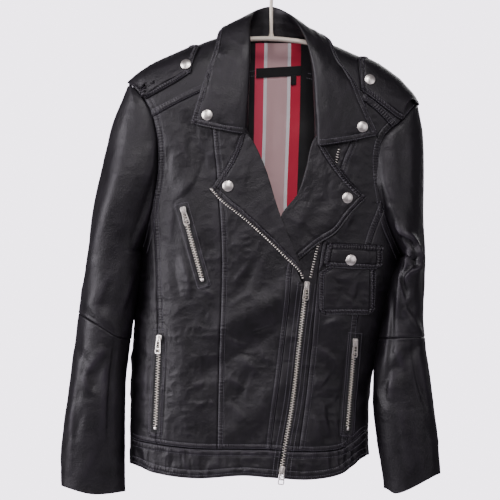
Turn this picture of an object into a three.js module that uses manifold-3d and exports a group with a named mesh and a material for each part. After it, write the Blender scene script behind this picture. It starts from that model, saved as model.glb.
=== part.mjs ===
// Biker jacket in black leather, hanging on a slim cream hanger.
//
// Millimetres, +Z up. The origin is where the hook rests on a rail. The front of the jacket faces -Y,
// +X is the wearer's left. The jacket hangs a little askew: its left shoulder is the lower one.
import * as THREE from 'three';
import { mergeVertices } from 'three/addons/utils/BufferGeometryUtils.js';
import Module from 'manifold-3d';

const wasm = await Module();
wasm.setup();

// Driving dimensions.
const leather = 1.6; // wall of the panels, sleeves and waistband
const doubled = 2.2; // wall of the pieces sewn from two layers: collar, lapels, flap, epaulettes
const seamGap = 0.3; // between pieces that are sewn or laid together
const farSide = 260; // reach of a cut, past every wall
const bodySides = 28;
const sleeveSides = 14;
const bodyBulge = 2.4; // exponent of the body's sections, 2 is an ellipse
const sleeveBulge = 2.2;
const chainWidth = 6; // main zip and pocket zips
const tapeWidth = 24;
const chainFace = 1.5; // how far the pocket zips stand off the front
const snapRadius = 8;
const overChain = 1.8; // how far the left lapel and the flap lie off the front
const strapBehind = 12; // reach of the epaulettes down the back of the shoulder

// Colours and finishes.
const finishes = {
  leather: { color: 0x1d1c1f, roughness: 0.5, metalness: 0 },
  metal: { color: 0xb9b6b0, roughness: 0.28, metalness: 1 },
  tape: { color: 0x121214, roughness: 0.9, metalness: 0 },
  lining: { color: 0xc98f92, roughness: 0.8, metalness: 0 },
  label: { color: 0x0d0d0f, roughness: 0.8, metalness: 0 },
  hanger: { color: 0xeadfcb, roughness: 0.45, metalness: 0 },
};

// ---- Tables: one row per section, fold or station -------------------------------------------

function table(names, rows) {
  return rows.map((row) => Object.fromEntries(names.map((name, i) => [name, row[i]])));
}

// Horizontal sections of the body: its edges left and right, and its depth before and behind y = 0.
// Above the underarm the edges are those of the whole form, and the armholes are cut out of it.
const bodyRows = table(['z', 'right', 'left', 'front', 'back'], [
  [-97, -55, 40, 26, 22],
  [-106, -67, 58, 31, 25],
  [-118, -98, 82, 36, 28],
  [-130, -125, 110, 40, 31],
  [-154, -176, 160, 47, 35],
  [-180, -207, 192, 53, 39],
  [-210, -215, 212, 59, 43],
  [-280, -206, 208, 67, 48],
  [-350, -196, 200, 74, 53],
  [-424, -190, 191, 79, 58],
  [-493, -196, 175, 81, 63],
  [-558, -202, 159, 81, 67],
  [-628, -205, 143, 82, 70],
  [-700, -206, 141, 84, 73],
  [-775, -206, 141, 86, 75],
]);
const bodyLevels = [
  -97, -108, -121, -134, -150, -168, -188, -212, -242, -276, -312, -350, -388, -424, -462, -502, -544,
  -588, -634, -682, -730, -775,
];

// Largest soft folds of the body: from, to, half width and height, positive outwards.
const frontFolds = table(['x', 'z', 'toX', 'toZ', 'width', 'height'], [
  [-150, -250, -112, -395, 22, 4],
  [-118, -240, -70, -345, 20, -3],
  [-150, -470, -120, -650, 20, 3.5],
  [40, -475, -70, -530, 18, 4],
  [30, -520, -95, -600, 16, -3],
  [20, -610, -60, -690, 18, 3],
  [95, -530, 62, -690, 18, 3.5],
  [150, -300, 128, -400, 16, -4],
  [150, -470, 118, -560, 16, 4],
  [70, -560, 110, -640, 18, -3],
]);
const backFolds = table(['x', 'z', 'toX', 'toZ', 'width', 'height'], [
  [-150, -260, -90, -400, 24, 5],
  [145, -280, 80, -420, 24, 5],
  [-60, -250, -40, -560, 26, -4],
  [50, -260, 30, -600, 26, -4],
  [-110, -450, -130, -690, 22, 5],
  [85, -480, 100, -690, 22, 5],
  [-5, -460, -15, -700, 20, 4],
]);

// Horizontal sections of the sleeves. Above the underarm the armhole gives the inner edge.
const sleeveRows = {
  right: table(['z', 'out', 'inner', 'front', 'back', 'shift'], [
    [-181, -209, 0, 10, 8, 0],
    [-203, -218, 0, 34, 26, 0],
    [-226, -228, 0, 44, 34, 0],
    [-283, -243, 0, 54, 44, 0],
    [-364, -260, 0, 62, 54, 0],
    [-424, -268, -190.5, 62, 58, 0],
    [-450, -272, -198, 60, 58, -3],
    [-513, -281, -205, 54, 54, -8],
    [-560, -287, -207, 50, 50, -12],
    [-617, -294, -212, 45, 45, -16],
    [-675, -302, -213, 39, 39, -19],
    [-721, -306, -213, 34, 34, -21],
    [-790, -306, -212, 29, 29, -22],
  ]),
  left: table(['z', 'out', 'inner', 'front', 'back', 'shift'], [
    [-209, 213, 0, 8, 7, 0],
    [-226, 216, 0, 30, 24, 0],
    [-250, 220, 0, 44, 34, 0],
    [-300, 222, 0, 54, 44, 0],
    [-386, 222, 0, 60, 54, 0],
    [-432, 222, 191.5, 58, 54, -2],
    [-493, 221, 180, 52, 50, -12],
    [-559, 225, 166, 48, 48, -18],
    [-590, 229, 155, 46, 46, -22],
    [-638, 235, 149, 42, 42, -24],
    [-698, 242, 154, 38, 38, -25],
    [-745, 245, 162, 34, 34, -26],
    [-790, 247, 166, 31, 31, -27],
  ]),
};
const sleeveLevels = {
  right: [
    -181, -190, -202, -218, -240, -270, -304, -342, -384, -424, -450, -486, -524, -564, -610, -662,
    -720, -790,
  ],
  left: [
    -209, -217, -228, -243, -264, -292, -326, -362, -398, -432, -458, -490, -526, -564, -610, -662,
    -720, -790,
  ],
};
// Folds around the sleeves: the angle they lie at, 0 outwards and 90 to the front, and their height.
const sleeveFolds = {
  right: table(['angle', 'z', 'toAngle', 'toZ', 'spread', 'height'], [
    [70, -300, 40, -430, 22, 4],
    [110, -360, 75, -500, 20, -3],
    [60, -500, 120, -540, 20, 4],
    [30, -560, 95, -610, 20, -3],
    [-80, -330, -50, -480, 24, 4],
    [-90, -520, -40, -570, 22, 4],
  ]),
  left: table(['angle', 'z', 'toAngle', 'toZ', 'spread', 'height'], [
    [120, -330, 60, -455, 20, 6],
    [150, -400, 85, -510, 18, -5],
    [120, -480, 50, -540, 18, 6],
    [60, -560, 130, -620, 20, -4],
    [-80, -340, -50, -480, 24, 4],
    [-90, -520, -40, -575, 22, 4],
  ]),
};

// Seams as they run over the front, [x, z], from the top down.
const seams = {
  armholeRight: [
    [-216, -166], [-207, -177], [-184, -203], [-170, -237], [-165, -295], [-172, -353], [-182, -395],
    [-190, -424],
  ],
  armholeLeft: [
    [219, -196], [212, -207], [189, -232], [165, -254], [157, -280], [157, -312], [161, -340],
    [168, -378], [180, -407], [191, -432],
  ],
  yokeRight: [[-180, -231], [-140, -209], [-109, -194], [-71, -178], [-20, -168]],
  yokeLeft: [[184, -250], [150, -216], [132, -203], [107, -187], [50, -172]],
  princessRight: [[-87, -170], [-85, -248], [-79, -312], [-72, -420], [-76, -582], [-79, -720]],
  sideRight: [[-170, -340], [-172, -353], [-168, -450], [-165, -536], [-167, -720]],
  sideLeft: [[166, -352], [161, -366], [145, -409], [133, -471], [126, -515], [120, -580], [109, -720]],
  placketRight: [[38, -425], [30, -447], [26, -493], [14, -594], [0, -703], [-6, -780]],
  placketLeft: [
    [134, -190], [118, -255], [101, -299], [74, -412], [66, -470], [58, -560], [49, -639], [29, -780],
  ],
  waistFront: [
    [-farSide, -690], [-208, -692], [-198, -696], [-121, -707], [-6, -709], [38, -712], [99, -709],
    [119, -698], [141, -682], [farSide, -680],
  ],
  waistBack: [[-farSide, -690], [-208, -692], [-100, -703], [20, -706], [141, -682], [farSide, -680]],
  hemFront: [
    [-farSide, -730], [-207, -731], [-168, -744], [-110, -751], [-40, -747], [1, -750], [56, -753],
    [99, -746], [117, -735], [141, -719], [farSide, -717],
  ],
  hemBack: [[-farSide, -730], [-207, -731], [-100, -743], [20, -745], [141, -719], [farSide, -717]],
  elbowRight: [[-farSide - 60, -500], [-281, -513], [-219, -548], [-190, -552]],
  elbowLeft: [[140, -552], [155, -549], [226, -547], [farSide, -546]],
  cuffRight: [[-farSide - 60, -760], [-306, -763], [-260, -775], [-207, -771], [-180, -770]],
  cuffLeft: [[140, -762], [166, -767], [180, -774], [245, -745], [farSide, -742]],
};

// Edges where the fronts fold outwards into the lapels, from the neck down, and the main zip's line.
const rollRight = [
  [-47, -96], [-44, -116], [-39, -140], [-35, -173], [-36, -213], [-37, -233], [-27, -257], [-10, -298],
  [10, -363], [26, -407], [37, -435], [47, -466],
];
const rollLeft = [
  [57, -98], [59, -123], [64, -145], [66, -200], [65, -251], [57, -271], [50, -302], [39, -336],
  [14, -373],
];
const zipLine = [[51, -468], [47, -502], [40, -560], [31, -640], [17, -721], [13, -757]];
const zipUpperLeft = [[98, -272], [82, -342], [65, -422], [55, -464]];
const zipUpperRight = [
  [-90, -334], [-71, -353], [-42, -376], [-3, -410], [20, -432], [37, -452], [44, -465],
];
const pocketZips = table(['name', 'x', 'z', 'toX', 'toZ'], [
  ['chest', -128, -362, -99, -467],
  ['hip_right', -162, -545, -168, -682],
  ['hip_left', 121, -550, 110, -683],
]);

// Outlines of the pieces that lie on the fronts, [x, z].
const outlines = {
  lapelRight: [
    [-37, -249], [-28, -262], [-10, -298], [10, -363], [26, -407], [37, -435], [44, -459], [37, -448],
    [21, -428], [-2, -405], [-41, -370], [-70, -347], [-86, -331], [-72, -312], [-55, -285],
    [-46, -257],
  ],
  lapelLeft: [
    [68, -257], [60, -271], [53, -302], [42, -336], [18, -373], [27, -400], [40, -433], [67, -411],
    [92, -395], [114, -366], [135, -345], [112, -320], [91, -292], [72, -266],
  ],
  flap: [
    [81, -411], [160, -414], [159, -437], [156, -444], [148, -448], [86, -446], [78, -443], [76, -435],
  ],
  epauletteRight: [
    [-104, -139], [-117, -163], [-145, -180], [-178, -198], [-184, -201], [-206, -177], [-206, -60],
    [-113, -60], [-113, -124],
  ],
  epauletteLeft: [
    [126, -156], [130, -188], [158, -209], [184, -229], [190, -229], [211, -205], [211, -60], [134, -60],
    [134, -140],
  ],
  pocket: [
    [82, -427], [150, -429], [151, -453], [150, -504], [146, -511], [138, -514], [79, -514], [71, -511],
    [68, -503], [68, -452], [80, -446],
  ],
};
const snaps = table(['name', 'x', 'z', 'on'], [
  ['collar_right', -93, -225, 'collar'],
  ['collar_left', 132, -242, 'collar'],
  ['lapel_right', -63, -328, 'lapelRight'],
  ['lapel_left', 110, -345, 'lapelLeft'],
  ['epaulette_right', -124, -151, 'lapelRight'],
  ['epaulette_left', 143, -173, 'lapelRight'],
  ['flap', 115, -435, 'lapelLeft'],
]);

// The collar, one row per station from the right end round the back of the neck to the left end:
// the neck seam, the roll at its top, the middle of its fall and its outer edge.
const collarRows = table(
  [
    'seamX', 'seamY', 'seamZ', 'rollX', 'rollY', 'rollZ', 'fallX', 'fallY', 'fallZ', 'edgeX', 'edgeY',
    'edgeZ',
  ],
  [
    [-33, -57, -239, -40, -68, -242, -76, -67, -243, -117, -59.5, -237],
    [-33, -54, -205, -36, -66, -206, -70, -65, -212, -108, -58.5, -206],
    [-32, -44, -165, -33, -59, -164, -66, -58, -168, -97, -51.5, -168],
    [-36, -30, -128, -31, -46, -121, -58, -45, -125, -84, -41, -132],
    [-44, -2, -104, -30, -18, -84, -53, -18, -90, -75, -14, -100],
    [-32, 12, -108, -20, 12, -70, -35, 29, -85, -54, 29, -103],
    [0, 18, -112, 0, 23, -65, 1, 35, -92, 2, 37, -128],
    [36, 12, -110, 21, 12, -73, 34, 29, -90, 50, 28.5, -110],
    [52, -4, -110, 37, -12, -88, 60, -14, -100, 84, -12, -112],
    [57, -30, -136, 53, -42, -121, 76, -43, -131, 98, -38, -142],
    [60, -44, -170, 62, -58, -158, 88, -58, -166, 120, -47.5, -174],
    [62, -53, -210, 66, -68, -206, 98, -64, -212, 138, -54.5, -215],
    [63, -57, -250, 68, -71, -254, 110, -66, -264, 155, -53.5, -254],
  ],
);

// The hanger's bar, along its middle.
const barRows = table(['x', 'z'], [
  [-178, -166.7], [-125, -139.7], [-75, -117.7], [-30, -112.7], [0, -112.2], [30, -114.7], [55, -118.7],
  [100, -136.7], [150, -160.7], [182, -182.7],
]);
const barHigh = 7;
const barDeep = 10;
const hookWire = 2.5; // radius
const hookRadius = 21; // of the wire's middle
const stemTop = -62;

// ---- Shape helpers --------------------------------------------------------------------------

function smooth(rows, name, z) {
  const last = rows.length - 2;
  const found = rows.findIndex((row) => row.z <= z) - 1;
  const i = found < -1 ? last : Math.min(Math.max(found, 0), last);
  const rise = (k) => (rows[k + 1][name] - rows[k][name]) / (rows[k + 1].z - rows[k].z);
  const slope = (k) => {
    if (k < 1 || k > last) return rise(Math.min(Math.max(k, 0), last));
    const before = rise(k - 1);
    const after = rise(k);
    return before * after <= 0 ? 0 : (2 * before * after) / (before + after);
  };
  const span = rows[i + 1].z - rows[i].z;
  const t = THREE.MathUtils.clamp((z - rows[i].z) / span, 0, 1);
  const t2 = t * t;
  const t3 = t2 * t;
  return (
    rows[i][name] * (2 * t3 - 3 * t2 + 1) +
    rows[i + 1][name] * (3 * t2 - 2 * t3) +
    span * (slope(i) * (t3 - 2 * t2 + t) + slope(i + 1) * (t3 - t2))
  );
}

function curveThrough(points, count) {
  const places = points.map(([x, z]) => new THREE.Vector3(x, 0, z));
  const curve = new THREE.CatmullRomCurve3(places, false, 'centripetal');
  return curve.getPoints(count).map((p) => [p.x, p.z]);
}

function xAtHeight(line, z) {
  const after = Math.min(Math.max(line.findIndex((p) => p[1] <= z), 1), line.length - 1);
  const [x0, z0] = line[after - 1];
  const [x1, z1] = line[after];
  return x0 + (x1 - x0) * THREE.MathUtils.clamp((z - z0) / (z1 - z0), 0, 1);
}

function foldHeight(folds, x, z) {
  return folds.reduce((sum, fold) => {
    const dx = fold.toX - fold.x;
    const dz = fold.toZ - fold.z;
    const along = ((x - fold.x) * dx + (z - fold.z) * dz) / (dx * dx + dz * dz);
    const t = THREE.MathUtils.clamp(along, 0, 1);
    const away = Math.hypot(x - fold.x - t * dx, z - fold.z - t * dz) / fold.width;
    return sum + fold.height * Math.exp(-away * away);
  }, 0);
}

function power(value, exponent) {
  return Math.sign(value) * Math.abs(value) ** exponent;
}

function closedSolid(positions, triangles) {
  const mesh = new wasm.Mesh({
    numProp: 3,
    vertProperties: Float32Array.from(positions),
    triVerts: Uint32Array.from(triangles),
  });
  const solid = new wasm.Manifold(mesh);
  if (solid.volume() > 0) return solid;
  const turned = triangles.map((v, i) => triangles[i + [0, 1, -1][i % 3]]);
  return closedSolid(positions, turned);
}

function solidOf(geometry) {
  const bare = geometry.clone();
  bare.deleteAttribute('normal');
  bare.deleteAttribute('uv');
  const merged = mergeVertices(bare, 1e-4);
  return closedSolid(Array.from(merged.attributes.position.array), Array.from(merged.index.array));
}

function geometryOf(solid) {
  const mesh = solid.getMesh();
  const geometry = new THREE.BufferGeometry();
  geometry.setAttribute('position', new THREE.BufferAttribute(Float32Array.from(mesh.vertProperties), 3));
  geometry.setIndex(Array.from(mesh.triVerts));
  geometry.computeVertexNormals();
  return geometry;
}

// A bar with straight sides along Y over an outline in x and z.
function prism(outline, yFrom = -farSide, yTo = farSide) {
  const shape = new THREE.Shape(outline.map(([x, z]) => new THREE.Vector2(x, z)));
  const geometry = new THREE.ExtrudeGeometry(shape, { depth: yTo - yFrom, bevelEnabled: false });
  geometry.rotateX(Math.PI / 2);
  geometry.translate(0, yTo, 0);
  return solidOf(geometry);
}

// The strip of one width that follows a line.
function ribbon(line, width) {
  const side = (sign) =>
    line.map(([x, z], i) => {
      const [ax, az] = line[Math.max(i - 1, 0)];
      const [bx, bz] = line[Math.min(i + 1, line.length - 1)];
      const length = Math.hypot(bx - ax, bz - az);
      return [x - (sign * width * (bz - az)) / length / 2, z + (sign * width * (bx - ax)) / length / 2];
    });
  return [...side(1), ...side(-1).reverse()];
}

function shifted(line, dx, dz) {
  return line.map(([x, z]) => [x + dx, z + dz]);
}

// Everything under a line that runs across, or on one side of a line that runs down.
function below(line) {
  const [first, last] = [line[0], line[line.length - 1]];
  return [...line, [last[0], -900], [first[0], -900]];
}

function beside(line, farX) {
  const [first, last] = [line[0], line[line.length - 1]];
  return [...line, [farX, last[1]], [farX, first[1]]];
}

// Rings joined into a closed form, its ends shut by a fan.
function loft(rings) {
  const count = rings[0].length;
  const positions = rings.flat().flatMap((p) => [p.x, p.y, p.z]);
  const triangles = [];
  for (let i = 0; i < rings.length - 1; i += 1) {
    for (let j = 0; j < count; j += 1) {
      const a = i * count + j;
      const b = i * count + ((j + 1) % count);
      triangles.push(a, b, a + count, b, b + count, a + count);
    }
  }
  [rings[0], rings[rings.length - 1]].forEach((ring, end) => {
    const middle = new THREE.Vector3();
    ring.forEach((p) => middle.addScaledVector(p, 1 / count));
    const centre = positions.length / 3;
    positions.push(middle.x, middle.y, middle.z);
    const start = end * (rings.length - 1) * count;
    for (let j = 0; j < count; j += 1) {
      const pair = [start + j, start + ((j + 1) % count)];
      triangles.push(centre, pair[end], pair[1 - end]);
      triangles.splice(-2, 2, pair[1 - end], pair[end]);
    }
  });
  return closedSolid(positions, triangles);
}

// Points moved out along the normals of the grid that they form.
function movedOut(grid, distance, closed) {
  const rows = grid.length;
  const columns = grid[0].length;
  const near = (j) => (closed ? (j + columns) % columns : Math.min(Math.max(j, 0), columns - 1));
  return grid.map((row, i) =>
    row.map((point, j) => {
      const down = grid[Math.min(i + 1, rows - 1)][j].clone().sub(grid[Math.max(i - 1, 0)][j]);
      const across = grid[i][near(j + 1)].clone().sub(grid[i][near(j - 1)]);
      return point.clone().addScaledVector(across.cross(down).normalize(), distance);
    }),
  );
}

// A wall behind an open grid of points.
function wall(grid, thickness) {
  const inner = movedOut(grid, thickness, false);
  const rows = grid.length;
  const columns = grid[0].length;
  const layer = rows * columns;
  const positions = [...grid.flat(), ...inner.flat()].flatMap((p) => [p.x, p.y, p.z]);
  const triangles = [];
  const quad = (a, b, c, d) => triangles.push(a, b, c, a, c, d);
  for (let i = 0; i < rows - 1; i += 1) {
    for (let j = 0; j < columns - 1; j += 1) {
      const a = i * columns + j;
      quad(a, a + 1, a + columns + 1, a + columns);
      quad(layer + a, layer + a + columns, layer + a + columns + 1, layer + a + 1);
    }
  }
  for (let j = 0; j < columns - 1; j += 1) {
    const end = (rows - 1) * columns + j;
    quad(j + 1, j, layer + j, layer + j + 1);
    quad(end, end + 1, layer + end + 1, layer + end);
  }
  for (let i = 0; i < rows - 1; i += 1) {
    const a = i * columns;
    const b = a + columns - 1;
    quad(a, a + columns, layer + a + columns, layer + a);
    quad(b + columns, b, layer + b, layer + b + columns);
  }
  return closedSolid(positions, triangles);
}

// ---- Body -----------------------------------------------------------------------------------

function bodyFold(x, y, z) {
  const fade = THREE.MathUtils.clamp((-z - 150) / 90, 0, 1);
  return fade * foldHeight(y < 0 ? frontFolds : backFolds, x, z);
}

function bodyRing(z) {
  const right = smooth(bodyRows, 'right', z);
  const left = smooth(bodyRows, 'left', z);
  return Array.from({ length: bodySides }, (unused, j) => {
    const angle = (2 * Math.PI * j) / bodySides;
    const depth = smooth(bodyRows, Math.sin(angle) < 0 ? 'front' : 'back', z);
    const x = (right + left) / 2 + ((left - right) / 2) * power(Math.cos(angle), 2 / bodyBulge);
    const round = power(Math.sin(angle), 2 / bodyBulge);
    return new THREE.Vector3(x, depth * round + round * bodyFold(x, round, z), z);
  });
}

// Share of the body's full depth that its section has at a place on the front.
function depthShare(x, z) {
  const right = smooth(bodyRows, 'right', z);
  const left = smooth(bodyRows, 'left', z);
  const across = Math.min(Math.abs((2 * x - right - left) / (left - right)), 1);
  return (1 - across ** bodyBulge) ** (1 / bodyBulge);
}

const bodyGrid = bodyLevels.map(bodyRing);
const bodyForms = new Map();

function bodyForm(out) {
  if (!bodyForms.has(out)) bodyForms.set(out, loft(movedOut(bodyGrid, -out, true)));
  return bodyForms.get(out);
}

// The layer of the body's form between two distances from its face.
function bodyLayer(from, to) {
  return bodyForm(to).subtract(bodyForm(from));
}

const lines = Object.fromEntries(
  Object.entries(seams).map(([name, points]) => [name, curveThrough(points, 3 * points.length)]),
);
const openingFront = [
  ...curveThrough(shifted(rollRight, -3.5, 0), 24),
  ...curveThrough(shifted(rollLeft, 3.5, 0), 24).reverse(),
  [70, -60],
  [-60, -60],
];
const openingBack = [
  [-64, -60], [-60, -98], [-52, -106], [-36, -112], [0, -115], [38, -114], [54, -112], [62, -104],
  [66, -60],
];
const outsideArmholes = [
  beside(shifted(lines.armholeRight, seamGap / 2, 0), -farSide),
  beside(shifted(lines.armholeLeft, -seamGap / 2, 0), farSide),
];

function waistAndBelow(lift) {
  return prism(below(shifted(lines.waistFront, 0, lift)), -farSide, 0).add(
    prism(below(shifted(lines.waistBack, 0, lift)), -0.01, farSide),
  );
}

const belowHem = prism(below(lines.hemFront), -farSide, 0).add(
  prism(below(lines.hemBack), -0.01, farSide),
);
const zipSlot = prism(ribbon(curveThrough(zipLine, 20), chainWidth + 1.4), -farSide, 0);
const frontMeeting = prism(ribbon([[12, -366], [26, -407], [37, -435], [50, -470]], 1.2), -farSide, 0);
const openShell = [
  ...outsideArmholes.map((outline) => prism(outline)),
  prism(openingFront, -farSide, 0),
  prism(openingBack, -0.01, farSide),
  belowHem,
  zipSlot,
  frontMeeting,
].reduce((shell, cut) => shell.subtract(cut), bodyLayer(-leather, 0));

const frontSeams = [
  'yokeRight', 'yokeLeft', 'princessRight', 'sideRight', 'sideLeft', 'placketRight', 'placketLeft',
];
const bladeCuts = [
  ...frontSeams.map((name) => prism(ribbon(lines[name], seamGap), -farSide, 0)),
  prism(ribbon(lines.sideRight, seamGap), -0.01, farSide),
  prism(ribbon(lines.sideLeft, seamGap), -0.01, farSide),
  prism([[-farSide, -60], [farSide, -60], [farSide, -330], [-farSide, -330]], -seamGap / 2, seamGap / 2),
];
const bodyPieces = bladeCuts
  .reduce((shell, cut) => shell.subtract(cut), openShell.subtract(waistAndBelow(seamGap / 2)))
  .decompose();
const waistPieces = openShell.intersect(waistAndBelow(-seamGap / 2)).decompose();

// The middle of a panel, to tell the pieces of the parted shell from each other.
const panelMiddles = table(['name', 'x', 'y', 'z'], [
  ['back_panel', 0, 60, -400],
  ['yoke_right', -120, -30, -170],
  ['yoke_left', 120, -30, -180],
  ['front_right_side', -120, -60, -450],
  ['front_right_centre', -30, -70, -500],
  ['placket_right', 22, -80, -580],
  ['placket_left', 78, -60, -445],
  ['front_left', 110, -58, -460],
  ['side_right', -195, 0, -540],
  ['side_left', 150, 0, -540],
]);

function middleOf(solid) {
  const box = solid.boundingBox();
  return new THREE.Vector3(...[0, 1, 2].map((k) => (box.min[k] + box.max[k]) / 2));
}

function nearestPiece(pieces, place) {
  const distance = (piece) => middleOf(piece).distanceTo(place);
  return pieces.reduce((best, piece) => (distance(piece) < distance(best) ? piece : best));
}

// ---- Sleeves --------------------------------------------------------------------------------

function sleeveRing(side, z) {
  const rows = sleeveRows[side];
  const sign = side === 'right' ? -1 : 1;
  const armhole = side === 'right' ? lines.armholeRight : lines.armholeLeft;
  const underarm = armhole[armhole.length - 1][1];
  const out = smooth(rows, 'out', z);
  const shift = smooth(rows, 'shift', z);
  const seamX = xAtHeight(armhole, z);
  const above = z > underarm;
  const rise = (z - underarm) / (armhole[0][1] - underarm);
  const inner = above ? seamX : smooth(rows, 'inner', z);
  const centre = above ? seamX + (0.5 - 0.3 * rise) * (out - seamX) : (out + inner) / 2;
  return Array.from({ length: sleeveSides }, (unused, j) => {
    const angle = (2 * Math.PI * j) / sleeveSides;
    const column = Math.sin(angle) > 0 ? 'front' : 'back';
    const bodyColumn = smooth(bodyRows, column, z);
    const seamDepth = above ? depthShare(seamX, z) * bodyColumn : 0;
    const depth = Math.max(smooth(rows, column, z), seamDepth + 1);
    const shrink = (1 - (seamDepth / depth) ** sleeveBulge) ** (1 / sleeveBulge);
    const half = Math.cos(angle) > 0 ? Math.abs(out - centre) : Math.abs(centre - inner) / shrink;
    const degrees = THREE.MathUtils.radToDeg(angle > Math.PI ? angle - 2 * Math.PI : angle);
    const swell = sleeveFolds[side].reduce((sum, fold) => {
      const t = THREE.MathUtils.clamp((z - fold.z) / (fold.toZ - fold.z), 0, 1);
      const turn = (degrees - fold.angle - t * (fold.toAngle - fold.angle)) / fold.spread;
      const away = (z - fold.z - t * (fold.toZ - fold.z)) / 20;
      return sum + fold.height * Math.exp(-turn * turn - away * away);
    }, 0);
    const across = power(Math.cos(angle), 2 / sleeveBulge);
    const ahead = power(Math.sin(angle), 2 / sleeveBulge);
    return new THREE.Vector3(
      centre + sign * (half + (across > 0 ? swell : 0)) * across,
      shift - (depth + swell) * ahead,
      z,
    );
  });
}

function sleevePieces(side) {
  const sign = side === 'right' ? -1 : 1;
  const grid = sleeveLevels[side].map((z) => sleeveRing(side, z));
  const outer = loft(grid);
  const inner = loft(movedOut(grid, -sign * leather, true));
  const armhole = side === 'right' ? lines.armholeRight : lines.armholeLeft;
  const bodySide = beside(shifted(armhole, (sign * seamGap) / 2, 0), 0);
  const elbow = side === 'right' ? lines.elbowRight : lines.elbowLeft;
  const cuff = prism(below(side === 'right' ? lines.cuffRight : lines.cuffLeft));
  const tube = outer.subtract(inner).subtract(prism(bodySide)).subtract(cuff);
  return {
    upper: tube.subtract(prism(below(shifted(elbow, 0, seamGap / 2)))),
    lower: tube.intersect(prism(below(shifted(elbow, 0, -seamGap / 2)))),
  };
}

// ---- Collar, epaulettes and what lies on the fronts -----------------------------------------

function collarPoint(station, fall) {
  const corners = ['seam', 'roll', 'fall', 'edge'].map((name) => {
    const place = (row) => new THREE.Vector3(...['X', 'Y', 'Z'].map((axis) => row[name + axis]));
    const places = collarRows.map(place);
    return new THREE.CatmullRomCurve3(places).getPoint(station);
  });
  return new THREE.CatmullRomCurve3(corners, false, 'centripetal').getPoint(fall);
}

const collarStations = 22;
const collarSteps = 7;
const collarGrid = Array.from({ length: collarSteps + 1 }, (unused, i) =>
  Array.from({ length: collarStations + 1 }, (empty, j) => collarPoint(j / collarStations, i / collarSteps)),
);

function laidOn(outline, from, to) {
  return bodyLayer(from, to).intersect(prism(outline, -farSide, 0));
}

// An epaulette lies over the top of the shoulder and a little way down its back.
function strap(outline) {
  return bodyLayer(seamGap, seamGap + doubled).intersect(prism(outline, -farSide, strapBehind));
}

function chain(line, width, from, to) {
  return laidOn(ribbon(curveThrough(line, 4 * line.length), width), from, to);
}

// ---- Small hardware -------------------------------------------------------------------------

function snapCap() {
  const profile = [[0, 0], [snapRadius - 0.6, 0], [snapRadius, 0.9], [5, 2.6], [0, 3.2]];
  return new THREE.LatheGeometry(profile.map(([r, h]) => new THREE.Vector2(r, h)), 12);
}

// Where a small piece sits on the front of a form: the plane over its footprint.
function seatOn(form, x, z, up, long, half, reach) {
  const across = [-up[1], up[0]];
  const face = (along, aside) => {
    const px = x + along * up[0] + aside * across[0];
    const pz = z + along * up[1] + aside * across[1];
    const square = [[px - 1, pz - 1], [px + 1, pz - 1], [px + 1, pz + 1], [px - 1, pz + 1]];
    const probe = prism(square, -farSide, 0);
    return new THREE.Vector3(px, form.intersect(probe).boundingBox().min[1], pz);
  };
  const upward = face(long, 0).sub(face(-reach, 0)).normalize();
  const normal = face(0, half).sub(face(0, -half)).cross(upward).normalize();
  if (normal.y > 0) normal.negate();
  const point = face(0, 0);
  const places = [
    [long, 0], [-long, 0], [0, half], [0, -half], [long, half], [long, -half], [-long, half], [-long, -half],
  ];
  const bulge = places.map(([along, aside]) => face(along, aside).sub(point).dot(normal));
  point.addScaledVector(normal, Math.max(0, ...bulge) + seamGap);
  return { point, normal, upward };
}

// Slider and pull of a zip, drawn upright with the zip's face towards -Y.
const sliderSize = { wide: 8.6, high: 10.5, thick: 3, arch: 3.6, wire: 1.3 };
const pullSize = { wide: 9.4, neck: 6.4, high: 22, thick: 1.2, frame: 1.5, window: 14 };

function boxAt(wide, deep, high, x, y, z) {
  const geometry = new THREE.BoxGeometry(wide, deep, high);
  geometry.translate(x, y, z);
  return solidOf(geometry);
}

function sliderSolid() {
  const { wide, high, thick, arch, wire } = sliderSize;
  const shape = new THREE.Shape([
    new THREE.Vector2(-wide / 2, high / 2 - 2),
    new THREE.Vector2(-wide / 2 + 1.6, high / 2),
    new THREE.Vector2(wide / 2 - 1.6, high / 2),
    new THREE.Vector2(wide / 2, high / 2 - 2),
    new THREE.Vector2(wide / 2 - 1.4, -high / 2),
    new THREE.Vector2(-wide / 2 + 1.4, -high / 2),
  ]);
  const geometry = new THREE.ExtrudeGeometry(shape, { depth: thick, bevelEnabled: false });
  geometry.rotateX(Math.PI / 2);
  const top = -thick - arch;
  const reach = high / 2 - 2.2;
  return solidOf(geometry)
    .add(boxAt(wire * 1.6, arch + 0.2, wire, 0, -thick - arch / 2 + 0.1, reach))
    .add(boxAt(wire * 1.6, arch + 0.2, wire, 0, -thick - arch / 2 + 0.1, -reach))
    .add(boxAt(wire * 1.6, wire, 2 * reach + wire, 0, top + wire / 2, 0));
}

// The pull hangs by a round bar at z = 0 that runs under the slider's arch.
function pullSolid() {
  const { wide, neck, high, thick, frame, window } = pullSize;
  const [top, bar, corner] = [0.8, -thick / 2, 1];
  const outline = [
    [-neck / 2, top], [neck / 2, top], [wide / 2, 3 * corner - high], [wide / 2 - corner, -high],
    [corner - wide / 2, -high], [-wide / 2, 3 * corner - high],
  ];
  const inside = neck / 2 - frame;
  const flare = 0.9;
  const holeTop = [[-inside, bar], [inside, bar], [inside + flare, -window], [-inside - flare, -window]];
  const low = frame - wide / 2;
  const holeLow = [[low, -window - frame], [-low, -window - frame], [-low, frame - high], [low, frame - high]];
  return prism(outline, -thick / 2, thick / 2)
    .subtract(prism(holeTop, -thick, thick))
    .subtract(prism(holeLow, -thick, thick));
}

// ---- Hanger ---------------------------------------------------------------------------------

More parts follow.
